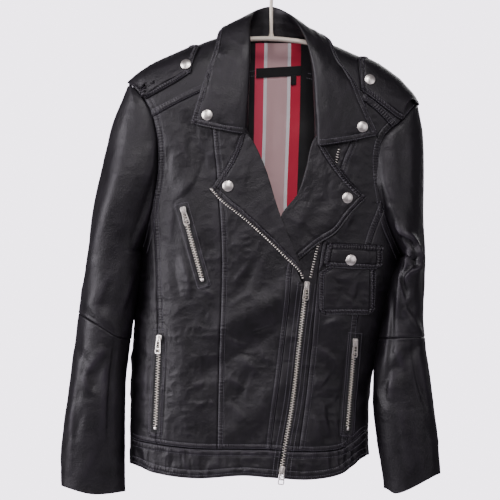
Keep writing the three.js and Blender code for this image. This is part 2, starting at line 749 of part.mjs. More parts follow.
function ellipse(wide, high, sides) {
  return new THREE.Shape(
    Array.from({ length: sides }, (unused, i) => {
      const angle = (2 * Math.PI * i) / sides;
      return new THREE.Vector2((wide / 2) * Math.cos(angle), (high / 2) * Math.sin(angle));
    }),
  );
}

function hangerBar() {
  const middle = barRows.map((row) => new THREE.Vector3(row.x, 0, row.z));
  const path = new THREE.CatmullRomCurve3(middle, false, 'centripetal');
  return new THREE.ExtrudeGeometry(ellipse(barHigh, barDeep, 8), {
    steps: 18,
    extrudePath: path,
    bevelEnabled: false,
  });
}

function hangerHook(bar) {
  const middle = hookWire - hookRadius;
  const round = Array.from({ length: 15 }, (unused, i) => {
    const angle = THREE.MathUtils.degToRad(18 * i - 62);
    return new THREE.Vector3(hookRadius * Math.cos(angle), 0, middle + hookRadius * Math.sin(angle));
  });
  const crown = solidOf(bar).intersect(boxAt(3 * hookWire, barDeep, 40, 0, 0, barRows[4].z));
  const foot = crown.boundingBox().max[2] + seamGap;
  const stem = [foot, foot + 12, foot + 26, stemTop].map((z) => new THREE.Vector3(0, 0, z));
  const path = new THREE.CatmullRomCurve3([...stem, ...round], false, 'centripetal');
  return new THREE.ExtrudeGeometry(ellipse(2 * hookWire, 2 * hookWire, 8), {
    steps: 30,
    extrudePath: path,
    bevelEnabled: false,
  });
}

// ---- Assembly -------------------------------------------------------------------------------

const jacket = new THREE.Group();

function addPiece(name, shape, finish, parent = jacket) {
  const geometry = shape.isBufferGeometry ? shape : geometryOf(shape);
  const mesh = new THREE.Mesh(geometry, new THREE.MeshStandardMaterial(finishes[finish]));
  mesh.name = name;
  parent.add(mesh);
  return mesh;
}

panelMiddles.forEach((panel) => {
  addPiece(panel.name, nearestPiece(bodyPieces, new THREE.Vector3(panel.x, panel.y, panel.z)), 'leather');
});
addPiece('waistband', nearestPiece(waistPieces, new THREE.Vector3(-30, 0, -720)), 'leather');

['right', 'left'].forEach((side) => {
  const sleeve = sleevePieces(side);
  addPiece(`sleeve_${side}_upper`, sleeve.upper, 'leather');
  addPiece(`sleeve_${side}_lower`, sleeve.lower, 'leather');
});

const collar = wall(collarGrid, -doubled);
addPiece('collar', collar, 'leather');
addPiece('lapel_right', laidOn(outlines.lapelRight, seamGap, seamGap + doubled), 'leather');
addPiece('lapel_left', laidOn(outlines.lapelLeft, overChain, overChain + doubled), 'leather');
addPiece('epaulette_right', strap(outlines.epauletteRight), 'leather');
addPiece('epaulette_left', strap(outlines.epauletteLeft), 'leather');
addPiece('pocket_patch', laidOn(outlines.pocket, seamGap, seamGap + 1.2), 'leather');
addPiece('pocket_flap', laidOn(outlines.flap, overChain, overChain + doubled), 'leather');

// Lining over the back, and what is sewn on it below the neck.
const liningOutline = [
  [-36, -118], [38, -118], [60, -124], [150, -190], [148, -300], [150, -470], [-150, -470], [-150, -300],
  [-158, -200], [-60, -124],
];
const liningFace = -leather - seamGap;
addPiece(
  'lining_back',
  bodyLayer(liningFace - 1, liningFace).intersect(prism(liningOutline, 1, farSide)),
  'lining',
);
const labelOutline = [[-22, -154], [45, -150], [45, -164], [-22, -168]];
const tabOutline = [[29, -166], [36, -166], [36, -177], [29, -177]];
const labelFace = liningFace - 1 - seamGap;
const labelLayer = bodyLayer(labelFace - 0.8, labelFace);
addPiece('neck_label', labelLayer.intersect(prism(labelOutline, 1, farSide)), 'label');
addPiece('size_tab', labelLayer.intersect(prism(tabOutline, 1, farSide)), 'label');

// Main zip: the tape behind its slot, the closed chain, and the two open halves above the slider.
const tapeFace = -leather - seamGap;
addPiece('main_zip_tape', chain(zipLine, tapeWidth, tapeFace - 0.8, tapeFace), 'tape');
addPiece('main_zip_chain', chain(zipLine, chainWidth, tapeFace + seamGap, 0.4), 'metal');
addPiece('zip_half_left', chain(zipUpperLeft, chainWidth / 2, seamGap, 1.3), 'metal');
addPiece('zip_half_right', chain(zipUpperRight, chainWidth / 2, seamGap, 1.7), 'metal');

pocketZips.forEach((zip) => {
  const run = [[zip.x, zip.z], [zip.toX, zip.toZ]];
  addPiece(`${zip.name}_zip_chain`, chain(run, chainWidth, seamGap, chainFace), 'metal');
});

const sliders = table(['name', 'x', 'z', 'downX', 'downZ', 'on'], [
  ['main_top', 51, -471, 47, -502, 0.4],
  ['main_bottom', 15.5, -738, 14, -752, 0.4],
  ['chest', -127, -363, -118, -396, chainFace],
  ['hip_right', -161.5, -549, -163, -580, chainFace],
  ['hip_left', 120.6, -554, 117, -590, chainFace],
]);

sliders.forEach((slider) => {
  const run = [slider.x - slider.downX, slider.z - slider.downZ];
  const up = run.map((part) => part / Math.hypot(...run));
  const { high, wide, thick, arch, wire } = sliderSize;
  const [form, half] = [bodyForm(slider.on), wide / 2];
  const { point, normal, upward } = seatOn(form, slider.x, slider.z, up, high / 2, half, pullSize.high);
  const across = upward.clone().cross(normal).normalize();
  const seat = new THREE.Group();
  seat.matrixAutoUpdate = false;
  seat.matrix.makeBasis(across, normal.clone().negate(), upward).setPosition(point);
  jacket.add(seat);
  addPiece(`slider_${slider.name}`, sliderSolid(), 'metal', seat);
  const pull = addPiece(`pull_${slider.name}`, pullSolid(), 'metal', seat);
  pull.position.set(0, -thick - (arch - wire) / 2, 0);
});

const snapForms = {
  collar,
  lapelRight: bodyForm(seamGap + doubled),
  lapelLeft: bodyForm(overChain + doubled),
};
snaps.forEach((snap) => {
  const seat = seatOn(snapForms[snap.on], snap.x, snap.z, [0, 1], snapRadius, snapRadius, snapRadius);
  const cap = addPiece(`snap_${snap.name}`, snapCap(), 'metal');
  cap.position.copy(seat.point);
  cap.quaternion.setFromUnitVectors(new THREE.Vector3(0, 1, 0), seat.normal);
});

const bar = hangerBar();
addPiece('hanger_bar', bar, 'hanger');
addPiece('hanger_hook', hangerHook(bar), 'hanger');

export default jacket;
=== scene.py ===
import math

import bpy
import numpy as np
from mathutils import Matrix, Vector


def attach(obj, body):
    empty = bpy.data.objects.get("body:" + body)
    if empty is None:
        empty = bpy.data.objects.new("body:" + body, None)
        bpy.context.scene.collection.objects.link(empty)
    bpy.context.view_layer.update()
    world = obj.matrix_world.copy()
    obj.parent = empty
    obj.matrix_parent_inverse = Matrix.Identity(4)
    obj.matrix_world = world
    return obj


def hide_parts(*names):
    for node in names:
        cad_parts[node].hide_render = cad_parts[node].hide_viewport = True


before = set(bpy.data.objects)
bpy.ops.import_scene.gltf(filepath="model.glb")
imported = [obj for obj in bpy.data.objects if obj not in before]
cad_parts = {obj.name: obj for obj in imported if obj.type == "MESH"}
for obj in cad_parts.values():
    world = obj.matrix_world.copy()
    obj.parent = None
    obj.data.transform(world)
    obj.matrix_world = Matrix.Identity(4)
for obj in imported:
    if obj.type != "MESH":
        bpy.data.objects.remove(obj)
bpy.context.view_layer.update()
bodyName = "jacket_and_hanger"

# Lengths are in millimetres inside the shape functions and in metres in the meshes.
mm = 0.001
bodyBulge = 2.4
sleeveBulge = 2.2
print("frame loaded")

# Sizes of the jacket, as in the solids: one row for each height.
bodyColumns = ["z", "right", "left", "front", "back"]
bodyRows = np.array([
    [-97, -55, 40, 26, 22], [-106, -67, 58, 31, 25], [-118, -98, 82, 36, 28], [-130, -125, 110, 40, 31],
    [-154, -176, 160, 47, 35], [-180, -207, 192, 53, 39], [-210, -215, 212, 59, 43],
    [-280, -206, 208, 67, 48], [-350, -196, 200, 74, 53], [-424, -190, 191, 79, 58],
    [-493, -196, 175, 81, 63], [-558, -202, 159, 81, 67], [-628, -205, 143, 82, 70],
    [-700, -206, 141, 84, 73], [-775, -206, 141, 86, 75],
], float)

# Large folds: from, to, width, height.
frontFolds = [
    (-150, -250, -112, -395, 22, 4), (-118, -240, -70, -345, 20, -3), (-150, -470, -120, -650, 20, 3.5),
    (40, -475, -70, -530, 18, 4), (30, -520, -95, -600, 16, -3), (20, -610, -60, -690, 18, 3),
    (95, -530, 62, -690, 18, 3.5), (150, -300, 128, -400, 16, -4), (150, -470, 118, -560, 16, 4),
    (70, -560, 110, -640, 18, -3),
]
backFolds = [
    (-150, -260, -90, -400, 24, 5), (145, -280, 80, -420, 24, 5), (-60, -250, -40, -560, 26, -4),
    (50, -260, 30, -600, 26, -4), (-110, -450, -130, -690, 22, 5), (85, -480, 100, -690, 22, 5),
    (-5, -460, -15, -700, 20, 4),
]

sleeveColumns = ["z", "out", "inner", "front", "back", "shift"]
sleeveRows = {
    "right": np.array([
        [-181, -209, 0, 10, 8, 0], [-203, -218, 0, 34, 26, 0], [-226, -228, 0, 44, 34, 0],
        [-283, -243, 0, 54, 44, 0], [-364, -260, 0, 62, 54, 0], [-424, -268, -187.5, 62, 58, 0],
        [-450, -272, -190, 60, 58, -3], [-513, -281, -199, 54, 54, -8], [-560, -287, -206, 50, 50, -12],
        [-617, -294, -212, 45, 45, -16], [-675, -302, -213, 39, 39, -19], [-721, -306, -213, 34, 34, -21],
        [-790, -306, -212, 29, 29, -22],
    ], float),
    "left": np.array([
        [-209, 213, 0, 8, 7, 0], [-226, 216, 0, 30, 24, 0], [-250, 220, 0, 44, 34, 0],
        [-300, 222, 0, 54, 44, 0], [-386, 222, 0, 60, 54, 0], [-432, 222, 183, 58, 54, -3],
        [-462, 221, 172, 55, 52, -10], [-493, 221, 166, 52, 50, -14], [-559, 225, 154, 48, 48, -19],
        [-590, 229, 149, 46, 46, -22], [-638, 235, 148, 42, 42, -24], [-698, 242, 154, 38, 38, -25],
        [-745, 245, 162, 34, 34, -26], [-790, 247, 166, 31, 31, -27],
    ], float),
}
# Folds round the sleeves: angle and height from and to, spread, height. 0 is outwards, 90 to the front.
sleeveFolds = {
    "right": [
        (70, -300, 40, -430, 22, 4), (110, -360, 75, -500, 20, -3), (60, -500, 120, -540, 20, 4),
        (30, -560, 95, -610, 20, -3), (-80, -330, -50, -480, 24, 4), (-90, -520, -40, -570, 22, 4),
    ],
    "left": [
        (120, -330, 60, -455, 20, 6), (150, -400, 85, -510, 18, -5), (120, -480, 50, -540, 18, 6),
        (60, -560, 130, -620, 20, -4), (-80, -340, -50, -480, 24, 4), (-90, -520, -40, -575, 22, 4),
    ],
}

# Seams, [x, z], from the top down or from the right to the left.
seams = {
    "armholeRight": [(-216, -166), (-207, -177), (-184, -203), (-170, -237), (-165, -295), (-172, -353),
                     (-182, -395), (-190, -424)],
    "armholeLeft": [(219, -196), (212, -207), (189, -232), (165, -254), (157, -280), (157, -312),
                    (161, -340), (168, -378), (180, -407), (191, -432)],
    "yokeRight": [(-180, -231), (-140, -209), (-109, -194), (-71, -178), (-20, -168)],
    "yokeLeft": [(184, -250), (150, -216), (132, -203), (107, -187), (50, -172)],
    "princessRight": [(-87, -170), (-85, -248), (-79, -312), (-72, -420), (-76, -582), (-79, -720)],
    "sideRight": [(-170, -340), (-172, -353), (-168, -450), (-165, -536), (-167, -720)],
    "sideLeft": [(166, -352), (161, -366), (145, -409), (133, -471), (126, -515), (120, -580),
                 (109, -720)],
    "placketRight": [(38, -425), (30, -447), (26, -493), (14, -594), (0, -703), (-6, -780)],
    "placketLeft": [(134, -190), (118, -255), (101, -299), (74, -412), (66, -470), (58, -560),
                    (49, -639), (29, -780)],
    "waistFront": [(-260, -690), (-208, -692), (-198, -696), (-121, -707), (-6, -709), (38, -712),
                   (99, -709), (119, -698), (141, -682), (260, -680)],
    "waistBack": [(-260, -690), (-208, -692), (-100, -703), (20, -706), (141, -682), (260, -680)],
    "hemFront": [(-260, -730), (-207, -731), (-168, -744), (-110, -751), (-40, -747), (1, -750),
                 (56, -753), (99, -746), (117, -735), (141, -719), (260, -717)],
    "hemBack": [(-260, -730), (-207, -731), (-100, -743), (20, -745), (141, -719), (260, -717)],
    "elbowRight": [(-320, -500), (-281, -513), (-219, -548), (-190, -552)],
    "elbowLeft": [(140, -552), (155, -549), (226, -547), (260, -546)],
    "cuffRight": [(-320, -760), (-306, -763), (-260, -775), (-207, -771), (-180, -770)],
    "cuffLeft": [(140, -762), (166, -767), (180, -774), (245, -745), (260, -742)],
    "zip": [(51, -468), (47, -502), (40, -560), (31, -640), (17, -721), (13, -757)],
    "rollRight": [(-47, -96), (-44, -116), (-39, -140), (-35, -173), (-36, -213), (-37, -233),
                  (-27, -257), (-10, -298), (10, -363), (26, -407), (37, -435), (47, -466)],
    "rollLeft": [(57, -98), (59, -123), (64, -145), (66, -200), (65, -251), (57, -271), (50, -302),
                 (39, -336), (14, -373)],
}

# Outlines of what lies on the fronts, [x, z]; the leather beneath is drawn in and calm.
outlines = [
    [(-37, -249), (-28, -262), (-10, -298), (10, -363), (26, -407), (37, -435), (47, -466), (37, -448),
     (21, -428), (-2, -405), (-41, -370), (-70, -347), (-86, -331), (-72, -312), (-55, -285), (-44, -251)],
    [(66, -253), (60, -271), (53, -302), (42, -336), (14, -373), (25, -407), (38, -436), (67, -411),
     (92, -395), (114, -366), (135, -345), (112, -320), (91, -292), (72, -264)],
    [(81, -411), (160, -414), (159, -437), (154, -446), (151, -453), (150, -504), (146, -511), (138, -514),
     (79, -514), (71, -511), (68, -503), (68, -452), (76, -440)],
    [(-104, -139), (-117, -163), (-145, -180), (-178, -198), (-184, -201), (-206, -177), (-206, -60),
     (-113, -60), (-113, -124)],
    [(126, -156), (130, -188), (158, -209), (184, -229), (190, -229), (211, -205), (211, -60), (134, -60),
     (134, -140)],
]

# Where the sliders and snaps lie in the solids; the leather beneath most of them is kept calm.
sliderPlaces = {
    "main_top": ((51, -471), (47, -502)), "main_bottom": ((15.5, -738), (14, -752)),
    "chest": ((-127, -363), (-118, -396)), "hip_right": ((-161.5, -549), (-163, -580)),
    "hip_left": ((120.6, -554), (117, -590)),
}
snapPlaces = {
    "collar_right": (-93, -225), "collar_left": (132, -242), "lapel_right": (-63, -328),
    "lapel_left": (110, -345), "epaulette_right": (-124, -151), "epaulette_left": (143, -173),
    "flap": (115, -435),
}
pocketZips = {
    "chest": [(-128, -362), (-99, -467)], "hip_right": [(-162, -545), (-168, -682)],
    "hip_left": [(121, -550), (110, -683)],
}


def column(rows, names, name, z):
    # the rows' value at each z, on a smooth curve that keeps to the table
    place = -rows[:, 0]
    value = rows[:, names.index(name)]
    rise = np.diff(value) / np.diff(place)
    slope = np.concatenate([rise[:1], np.zeros(len(value) - 2), rise[-1:]])
    before, after = rise[:-1], rise[1:]
    total = np.where(before + after == 0, 1, before + after)
    slope[1:-1] = np.where(before * after <= 0, 0, 2 * before * after / total)
    z = np.clip(-np.asarray(z, float), place[0], place[-1])
    i = np.clip(np.searchsorted(place, z, side="right") - 1, 0, len(place) - 2)
    span = place[i + 1] - place[i]
    t = (z - place[i]) / span
    return (value[i] * (2 * t**3 - 3 * t**2 + 1) + value[i + 1] * (3 * t**2 - 2 * t**3)
            + span * (slope[i] * (t**3 - 2 * t**2 + t) + slope[i + 1] * (t**3 - t**2)))


def curve(points, t):
    # places on a smooth line through points, t from 0 to 1 in equal shares for each span
    points = np.asarray(points, float)
    ends = [2 * points[0] - points[1], 2 * points[-1] - points[-2]]
    padded = np.vstack([ends[:1], points, ends[1:]])
    at = np.clip(np.asarray(t, float), 0, 1) * (len(points) - 1)
    i = np.minimum(at.astype(int), len(points) - 2)
    w = (at - i)[:, None]
    p0, p1, p2, p3 = (padded[i + k] for k in range(4))
    gaps = [np.sqrt(np.linalg.norm(b - a, axis=1))[:, None] for a, b in ((p0, p1), (p1, p2), (p2, p3))]
    d0, d1, d2 = (np.maximum(gap, 1e-3) for gap in gaps)
    m1 = d1 * ((p1 - p0) / d0 - (p2 - p0) / (d0 + d1) + (p2 - p1) / d1)
    m2 = d1 * ((p2 - p1) / d1 - (p3 - p1) / (d1 + d2) + (p3 - p2) / d2)
    return p1 + m1 * w + (-3 * p1 + 3 * p2 - 2 * m1 - m2) * w**2 + (2 * p1 - 2 * p2 + m1 + m2) * w**3


def fine(points, step=4.0):
    # the smooth line through points, about one place each step
    length = np.linalg.norm(np.diff(np.asarray(points, float), axis=0), axis=1).sum()
    return curve(points, np.linspace(0, 1, max(int(length / step), len(points)) + 1))


def runOf(line):
    # how far each place lies along a line
    return np.concatenate([[0], np.cumsum(np.linalg.norm(np.diff(line, axis=0), axis=1))])


def readAt(at, run, values):
    # the columns of some values, read at distances along their run
    return np.stack([np.interp(at, run, one) for one in values.T], axis=1)


def unit(vectors):
    return vectors / np.maximum(np.linalg.norm(vectors, axis=-1, keepdims=True), 1e-9)


def evenly(line, step):
    # places at one distance from each other along a line, and the distances
    line = np.asarray(line, float)
    run = runOf(line)
    at = np.linspace(0, run[-1], max(int(round(run[-1] / step)), 1) + 1)
    return readAt(at, run, line), at


def power(value, exponent):
    return np.sign(value) * np.abs(value) ** exponent


def valueNoise(u, v, seed):
    # smooth noise from 0 to 1
    table = np.random.default_rng(seed).random((64, 64))
    u, v = np.broadcast_arrays(np.asarray(u, float), np.asarray(v, float))
    i, j = np.floor(u).astype(int), np.floor(v).astype(int)
    a, b = u - i, v - j
    a, b = a * a * (3 - 2 * a), b * b * (3 - 2 * b)
    top = table[i % 64, j % 64] * (1 - a) + table[(i + 1) % 64, j % 64] * a
    low = table[i % 64, (j + 1) % 64] * (1 - a) + table[(i + 1) % 64, (j + 1) % 64] * a
    return top * (1 - b) + low * b


def wrinkles(u, v, size, seed):
    # soft connected ridges of about one size, from -1 to 1, none of them the same
    bend = size * 0.7
    du = bend * (valueNoise(u / size / 2, v / size / 2, seed + 1) - 0.5)
    dv = bend * (valueNoise(u / size / 2, v / size / 2, seed + 2) - 0.5)
    first = valueNoise((u + du) / size, (v + dv) / size, seed)
    second = valueNoise((u + dv) / size * 2.1, (v - du) / size * 2.1, seed + 3)
    return (1 - 2 * np.abs(2 * first - 1)) * 0.7 + (2 * second - 1) * 0.3


def sideOf(line, x, z):
    # signed distance of each place from a line, positive on its left going along, and the run to it
    line = np.asarray(line, float)
    best = np.full(x.shape, 1e9)
    signed = np.full(x.shape, 1e9)
    run = np.zeros(x.shape)
    start = 0.0
    for (x0, z0), (x1, z1) in zip(line[:-1], line[1:]):
        dx, dz = x1 - x0, z1 - z0
        length = math.hypot(dx, dz)
        if length < 1e-6:
            continue
        t = np.clip(((x - x0) * dx + (z - z0) * dz) / length**2, 0, 1)
        px, pz = x - x0 - t * dx, z - z0 - t * dz
        away = np.hypot(px, pz)
        nearer = away < best
        best = np.where(nearer, away, best)
        signed = np.where(nearer, away * np.where(dx * pz - dz * px >= 0, 1, -1), signed)
        run = np.where(nearer, start + t * length, run)
        start += length
    return signed, run


def bump(value, width):
    return np.exp(-((value / width) ** 2))


def foldHeight(folds, x, z):
    total = np.zeros(np.shape(x))
    for x0, z0, x1, z1, width, height in folds:
        dx, dz = x1 - x0, z1 - z0
        t = np.clip(((x - x0) * dx + (z - z0) * dz) / (dx * dx + dz * dz), 0, 1)
        total += height * bump(np.hypot(x - x0 - t * dx, z - z0 - t * dz), width)
    return total


def creaseHeight(creases, u, v):
    # creases that swell and fade along their length: from, to, width, height, bow; one side is steeper
    total = np.zeros(np.shape(u))
    for u0, v0, u1, v1, width, height, bow in creases:
        du, dv = u1 - u0, v1 - v0
        length = math.hypot(du, dv)
        t = ((u - u0) * du + (v - v0) * dv) / length**2
        inside = np.clip(t, 0, 1)
        away = ((u - u0) * dv - (v - v0) * du) / length - bow * 4 * inside * (1 - inside)
        steep = width * (1 + 0.35 * np.tanh(away / width))
        fade = np.sin(np.pi * inside) ** 0.7 * (np.abs(t - 0.5) < 0.5)
        total += height * fade * bump(away, steep)
    return total


def bodyEdges(z):
    return column(bodyRows, bodyColumns, "right", z), column(bodyRows, bodyColumns, "left", z)


def bodyDepth(z, ahead):
    front, back = (column(bodyRows, bodyColumns, name, z) for name in ("front", "back"))
    return np.where(ahead, front, back)


def shareAcross(x, z):
    # -1 at the body's right edge, 1 at its left one
    right, left = bodyEdges(z)
    return (2 * x - right - left) / (left - right)


def backAngle(x, z):
    # the ring's angle at a place inside the back
    return np.arccos(power(np.clip(shareAcross(x, z), -0.995, 0.995), bodyBulge / 2))


def frontAngle(x, z):
    # the ring's angle at a place on the front, from 0 at the left edge to -pi at the right
    return -np.arccos(power(np.clip(shareAcross(x, z), -1, 1), bodyBulge / 2))


def bodyRing(angle, z):
    right, left = bodyEdges(z)
    ahead = np.sin(angle) < 0
    x = (right + left) / 2 + (left - right) / 2 * power(np.cos(angle), 2 / bodyBulge)
    share = power(np.sin(angle), 2 / bodyBulge)
    fade = np.clip((-z - 150) / 90, 0, 1)
    fold = fade * np.where(ahead, foldHeight(frontFolds, x, z), foldHeight(backFolds, x, z))
    return np.stack([x, share * (bodyDepth(z, ahead) + fold), z + 0 * x], axis=-1)


def normalOf(surface, u, v, du, dv):
    across = surface(u + du, v) - surface(u - du, v)
    down = surface(u, v + dv) - surface(u, v - dv)
    return unit(np.cross(across, down))


def bodyNormal(angle, z):
    # the rings are read a little inside the two edges, where their section has a corner point
    off = 0.012
    angle = angle + np.where(np.abs(np.sin(angle)) < off, np.sign(np.sin(angle) + 1e-9) * off, 0)
    return normalOf(bodyRing, angle, z, 0.01, 1.5)


def onBody(angle, z, lift):
    # places at a height over the body's form
    return bodyRing(angle, z) + bodyNormal(angle, z) * np.asarray(lift)[..., None]


lines = {name: fine(points) for name, points in seams.items()}


def acrossAt(name, z, shift=0.0):
    # x of a line that runs down, at each z
    line = lines[name][::-1]
    return np.interp(z, line[:, 1], line[:, 0]) + shift


def heightAt(name, x, lift=0.0):
    # z of a line that runs across, at each x
    line = lines[name]
    if line[0, 0] > line[-1, 0]:
        line = line[::-1]
    return np.interp(x, line[:, 0], line[:, 1]) + lift


# Creases of the fronts, [x, z] from and to, width, height, bow. First the right front, then the left.
frontCreases = [
    (-127, -236, -122, -300, 9, 1.7, 3), (-104, -292, -148, -352, 7, 1.9, -7),
    (-96, -276, -118, -322, 8, -1.7, -5), (-140, -352, -146, -412, 7, 1.8, 3),
    (-131, -430, -118, -492, 6, 2.8, -3), (-140, -420, -131, -500, 7, -2.2, 3),
    (-105, -478, -82, -489, 4, 1.4, -3), (-178, -560, -182, -680, 8, 2.6, 4),
    (-158, -520, -150, -560, 7, -1.2, 2), (-110, -520, -96, -540, 6, 0.8, 2),
    (-116, -615, -96, -611, 4, 1.3, 1.5), (-112, -645, -92, -640, 4, 1.1, 1),
    (-90, -643, -84, -639, 4, 1, 0), (-128, -660, -118, -690, 5, 1.0, 1),
    (-66, -300, -58, -380, 10, 1.4, 3), (-30, -540, 4, -528, 2.2, -1.3, 0.6),
    (-58, -470, -34, -440, 5, 1.4, 2), (-62, -505, -28, -482, 6, 1.6, -2),
    (-66, -545, -36, -560, 6, 1.8, 3), (-50, -575, -22, -600, 7, 2.0, -3),
    (-62, -600, -38, -622, 5, 1.7, 2), (-30, -590, -44, -640, 6, -1.6, 2),
    (-66, -640, -40, -668, 6, 1.5, -2), (-20, -560, 6, -586, 6, 1.2, 2),
    (-20, -430, -44, -500, 9, -1.6, 3), (-12, -620, -6, -690, 7, 1.5, 2),
    (-64, -420, -44, -404, 5, 1.2, 1), (-10, -480, 16, -560, 8, 1.8, 2),
    (-146, -270, -152, -330, 6, -1.5, 2), (96, -272, 86, -330, 8, -1.8, 2),
    (118, -266, 108, -330, 8, 1.6, 2), (120, -350, 96, -402, 7, 1.6, -3), (92, -345, 76, -398, 6, -1.4, 2),
    (72, -530, 104, -514, 6, 1.6, 3), (62, -560, 96, -592, 7, 2.2, -4), (70, -600, 52, -650, 6, 2.0, 3),
    (66, -632, 92, -634, 3.6, -2.2, 1.5), (84, -600, 66, -622, 5, 1.8, 1), (74, -640, 84, -692, 6, 2.4, 3),
    (92, -650, 98, -690, 5, 1.3, 2), (58, -655, 70, -700, 5, 1.5, -2), (100, -560, 92, -630, 7, 1.3, -2),
    (140, -470, 126, -530, 6, 1.6, 2), (148, -520, 134, -640, 8, 2.0, -4),
    (135, -600, 128, -690, 7, -1.6, 3), (36, -580, 48, -640, 5, 1.0, 1),
]
backCreases = [
    (-165, -250, -110, -330, 9, 2.8, 6), (-150, -320, -100, -420, 9, -2.2, -5),
    (-120, -230, -60, -262, 8, 1.5, 3), (155, -262, 108, -350, 9, 2.8, -6),
    (140, -350, 96, -440, 9, -2.2, 5), (118, -240, 60, -270, 8, 1.5, -3), (-8, -170, -2, -250, 9, -1.2, 2),
    (-70, -440, -20, -470, 8, 1.8, 4), (70, -430, 14, -476, 8, 1.8, -4),
    (-96, -510, -30, -548, 8, 2.1, -4), (90, -520, 24, -562, 8, 2.1, 5),
    (-140, -540, -80, -600, 9, 2.3, 4), (-60, -600, -10, -628, 8, -1.9, 3), (60, -610, 6, -646, 8, 1.8, 3),
    (-170, -600, -130, -668, 8, 1.9, 2), (-104, -640, -84, -698, 7, 1.6, 2),
    (-46, -650, -36, -700, 6, 1.4, -2), (20, -640, 28, -700, 6, 1.5, 2), (76, -640, 92, -695, 7, 1.6, -2),
    (-130, -420, -150, -500, 8, 1.6, 3), (118, -460, 126, -560, 8, 1.7, -3),
    (-30, -300, -24, -400, 10, 1.3, 4), (34, -320, 26, -430, 10, 1.3, -4),
]
# Creases at the two sides, [y, z].
sideCreases = [
    (-40, -450, 30, -470, 9, 2.2, 4), (30, -500, -30, -525, 8, 2.0, -3), (-34, -560, 36, -585, 9, 2.2, 4),
    (40, -620, -26, -640, 8, 1.8, 3), (-20, -650, -10, -700, 7, 1.4, 2), (20, -440, 26, -500, 8, -1.5, 3),
]

# Stitched bands beside the seams of the fronts: which side of the line, how far it starts, how wide.
frontBands = [
    ("yokeRight", 1, 1.0, 8.0), ("yokeLeft", -1, 1.0, 8.0), ("armholeRight", 1, 1.2, 8.0),
    ("armholeLeft", -1, 1.2, 8.0), ("princessRight", 1, 1.0, 7.0), ("sideRight", 1, 1.0, 7.0),
    ("sideLeft", -1, 1.0, 7.5), ("placketRight", -1, 1.0, 6.0), ("placketLeft", 1, 1.0, 7.0),
    ("waistFront", 1, 1.0, 6.0), ("waistFront", -1, 1.5, 8.0), ("hemFront", 1, 4.0, 8.0),
]
backBands = [
    ("armholeRight", 1, 1.2, 8.0), ("armholeLeft", -1, 1.2, 8.0), ("sideRight", 1, 1.0, 7.0),
    ("sideLeft", -1, 1.0, 7.5), ("waistBack", 1, 1.0, 6.0), ("waistBack", -1, 1.5, 8.0),
    ("hemBack", 1, 4.0, 8.0),
]


def ladder(away, run, start, wide, seed):
    # the drawn-up leather between two rows of stitches: a raised band with short uneven ribs across
    t = (away - start) / wide
    band = np.clip(np.sin(np.pi * np.clip(t, 0, 1)), 0, 1) ** 0.6
    drift = 5 * (valueNoise(run / 22, 0 * run, seed) - 0.5)
    ribs = 0.5 + 0.5 * np.cos(2 * np.pi * (run + drift) / 4.0)
    weight = 0.35 + 0.9 * valueNoise(run / 9, away / 9, seed + 7)
    rows = bump(away - start, 0.9) + bump(away - start - wide, 0.9)
    return band * (0.6 + 1.4 * (ribs - 0.5) * weight) - 0.7 * rows


def calmNear(x, z):
    # 0 under the sliders and the flap's snap, 1 away from them
    calm = np.ones(np.shape(x))
    for (x0, z0), (x1, z1) in sliderPlaces.values():
        away, _ = sideOf([(x0 * 1.3 - x1 * 0.3, z0 * 1.3 - z1 * 0.3), (x1, z1)], x, z)
        calm *= 1 - bump(away, 12)
    x0, z0 = snapPlaces["flap"]
    return calm * (1 - bump(np.hypot(x - x0, z - z0), 14))


def welt(x, z):
    # the slot of a pocket zip: a sunk strip with a raised lip all round
    total = np.zeros(np.shape(x))
    for line in pocketZips.values():
        (x0, z0), (x1, z1) = line
        away, _ = sideOf([(x0 + (x0 - x1) * 0.05, z0 + (z0 - z1) * 0.05), (x1, z1)], x, z)
        away = np.abs(away)
        total += 0.9 * bump(away - 7.5, 2.2) - 1.0 * bump(away, 5.0) - 0.5 * bump(away - 12, 1.2)
    return total


def covered(x, z):
    # 1 beneath the lapels, the pocket and the shoulder straps, 0 away from them
    total = np.zeros(np.shape(x))
    for outline in outlines:
        line = np.array(outline + outline[:1], float)
        turning = np.sum(line[:-1, 0] * line[1:, 1] - line[1:, 0] * line[:-1, 1])
        near = ((x > line[:, 0].min() - 4) & (x < line[:, 0].max() + 4)
                & (z > line[:, 1].min() - 4) & (z < line[:, 1].max() + 4))
        if near.any():
            signed, _ = sideOf(line, x[near], z[near])
            total[near] = np.maximum(total[near], np.clip(0.5 + np.sign(turning) * signed / 3, 0, 1))
    return total


def seamRelief(x, z, bands, seed):
    total = np.zeros(np.shape(x))
    for k, (name, side, start, wide) in enumerate(bands):
        line = lines[name]
        near = ((x > line[:, 0].min() - 16) & (x < line[:, 0].max() + 16)
                & (z > line[:, 1].min() - 16) & (z < line[:, 1].max() + 16))
        if not near.any():
            continue
        signed, run = sideOf(line[::2] if len(line) > 60 else line, x[near], z[near])
        away = signed * side
        ends = 1.0
        if "waist" not in name and "hem" not in name:
            waist = heightAt("waistFront" if bands is frontBands else "waistBack", x[near])
            ends = np.clip((z[near] - waist) / 1.5, 0, 1)
        reach = bump(np.abs(signed), 13)
        draw = (valueNoise(run / 11, 0 * run, seed + 40 + k) - 0.5) * reach * 1.0
        total[near] += ends * (ladder(away, run, start, wide, seed + k) - 0.9 * bump(signed, 1.0) + draw)
    return total


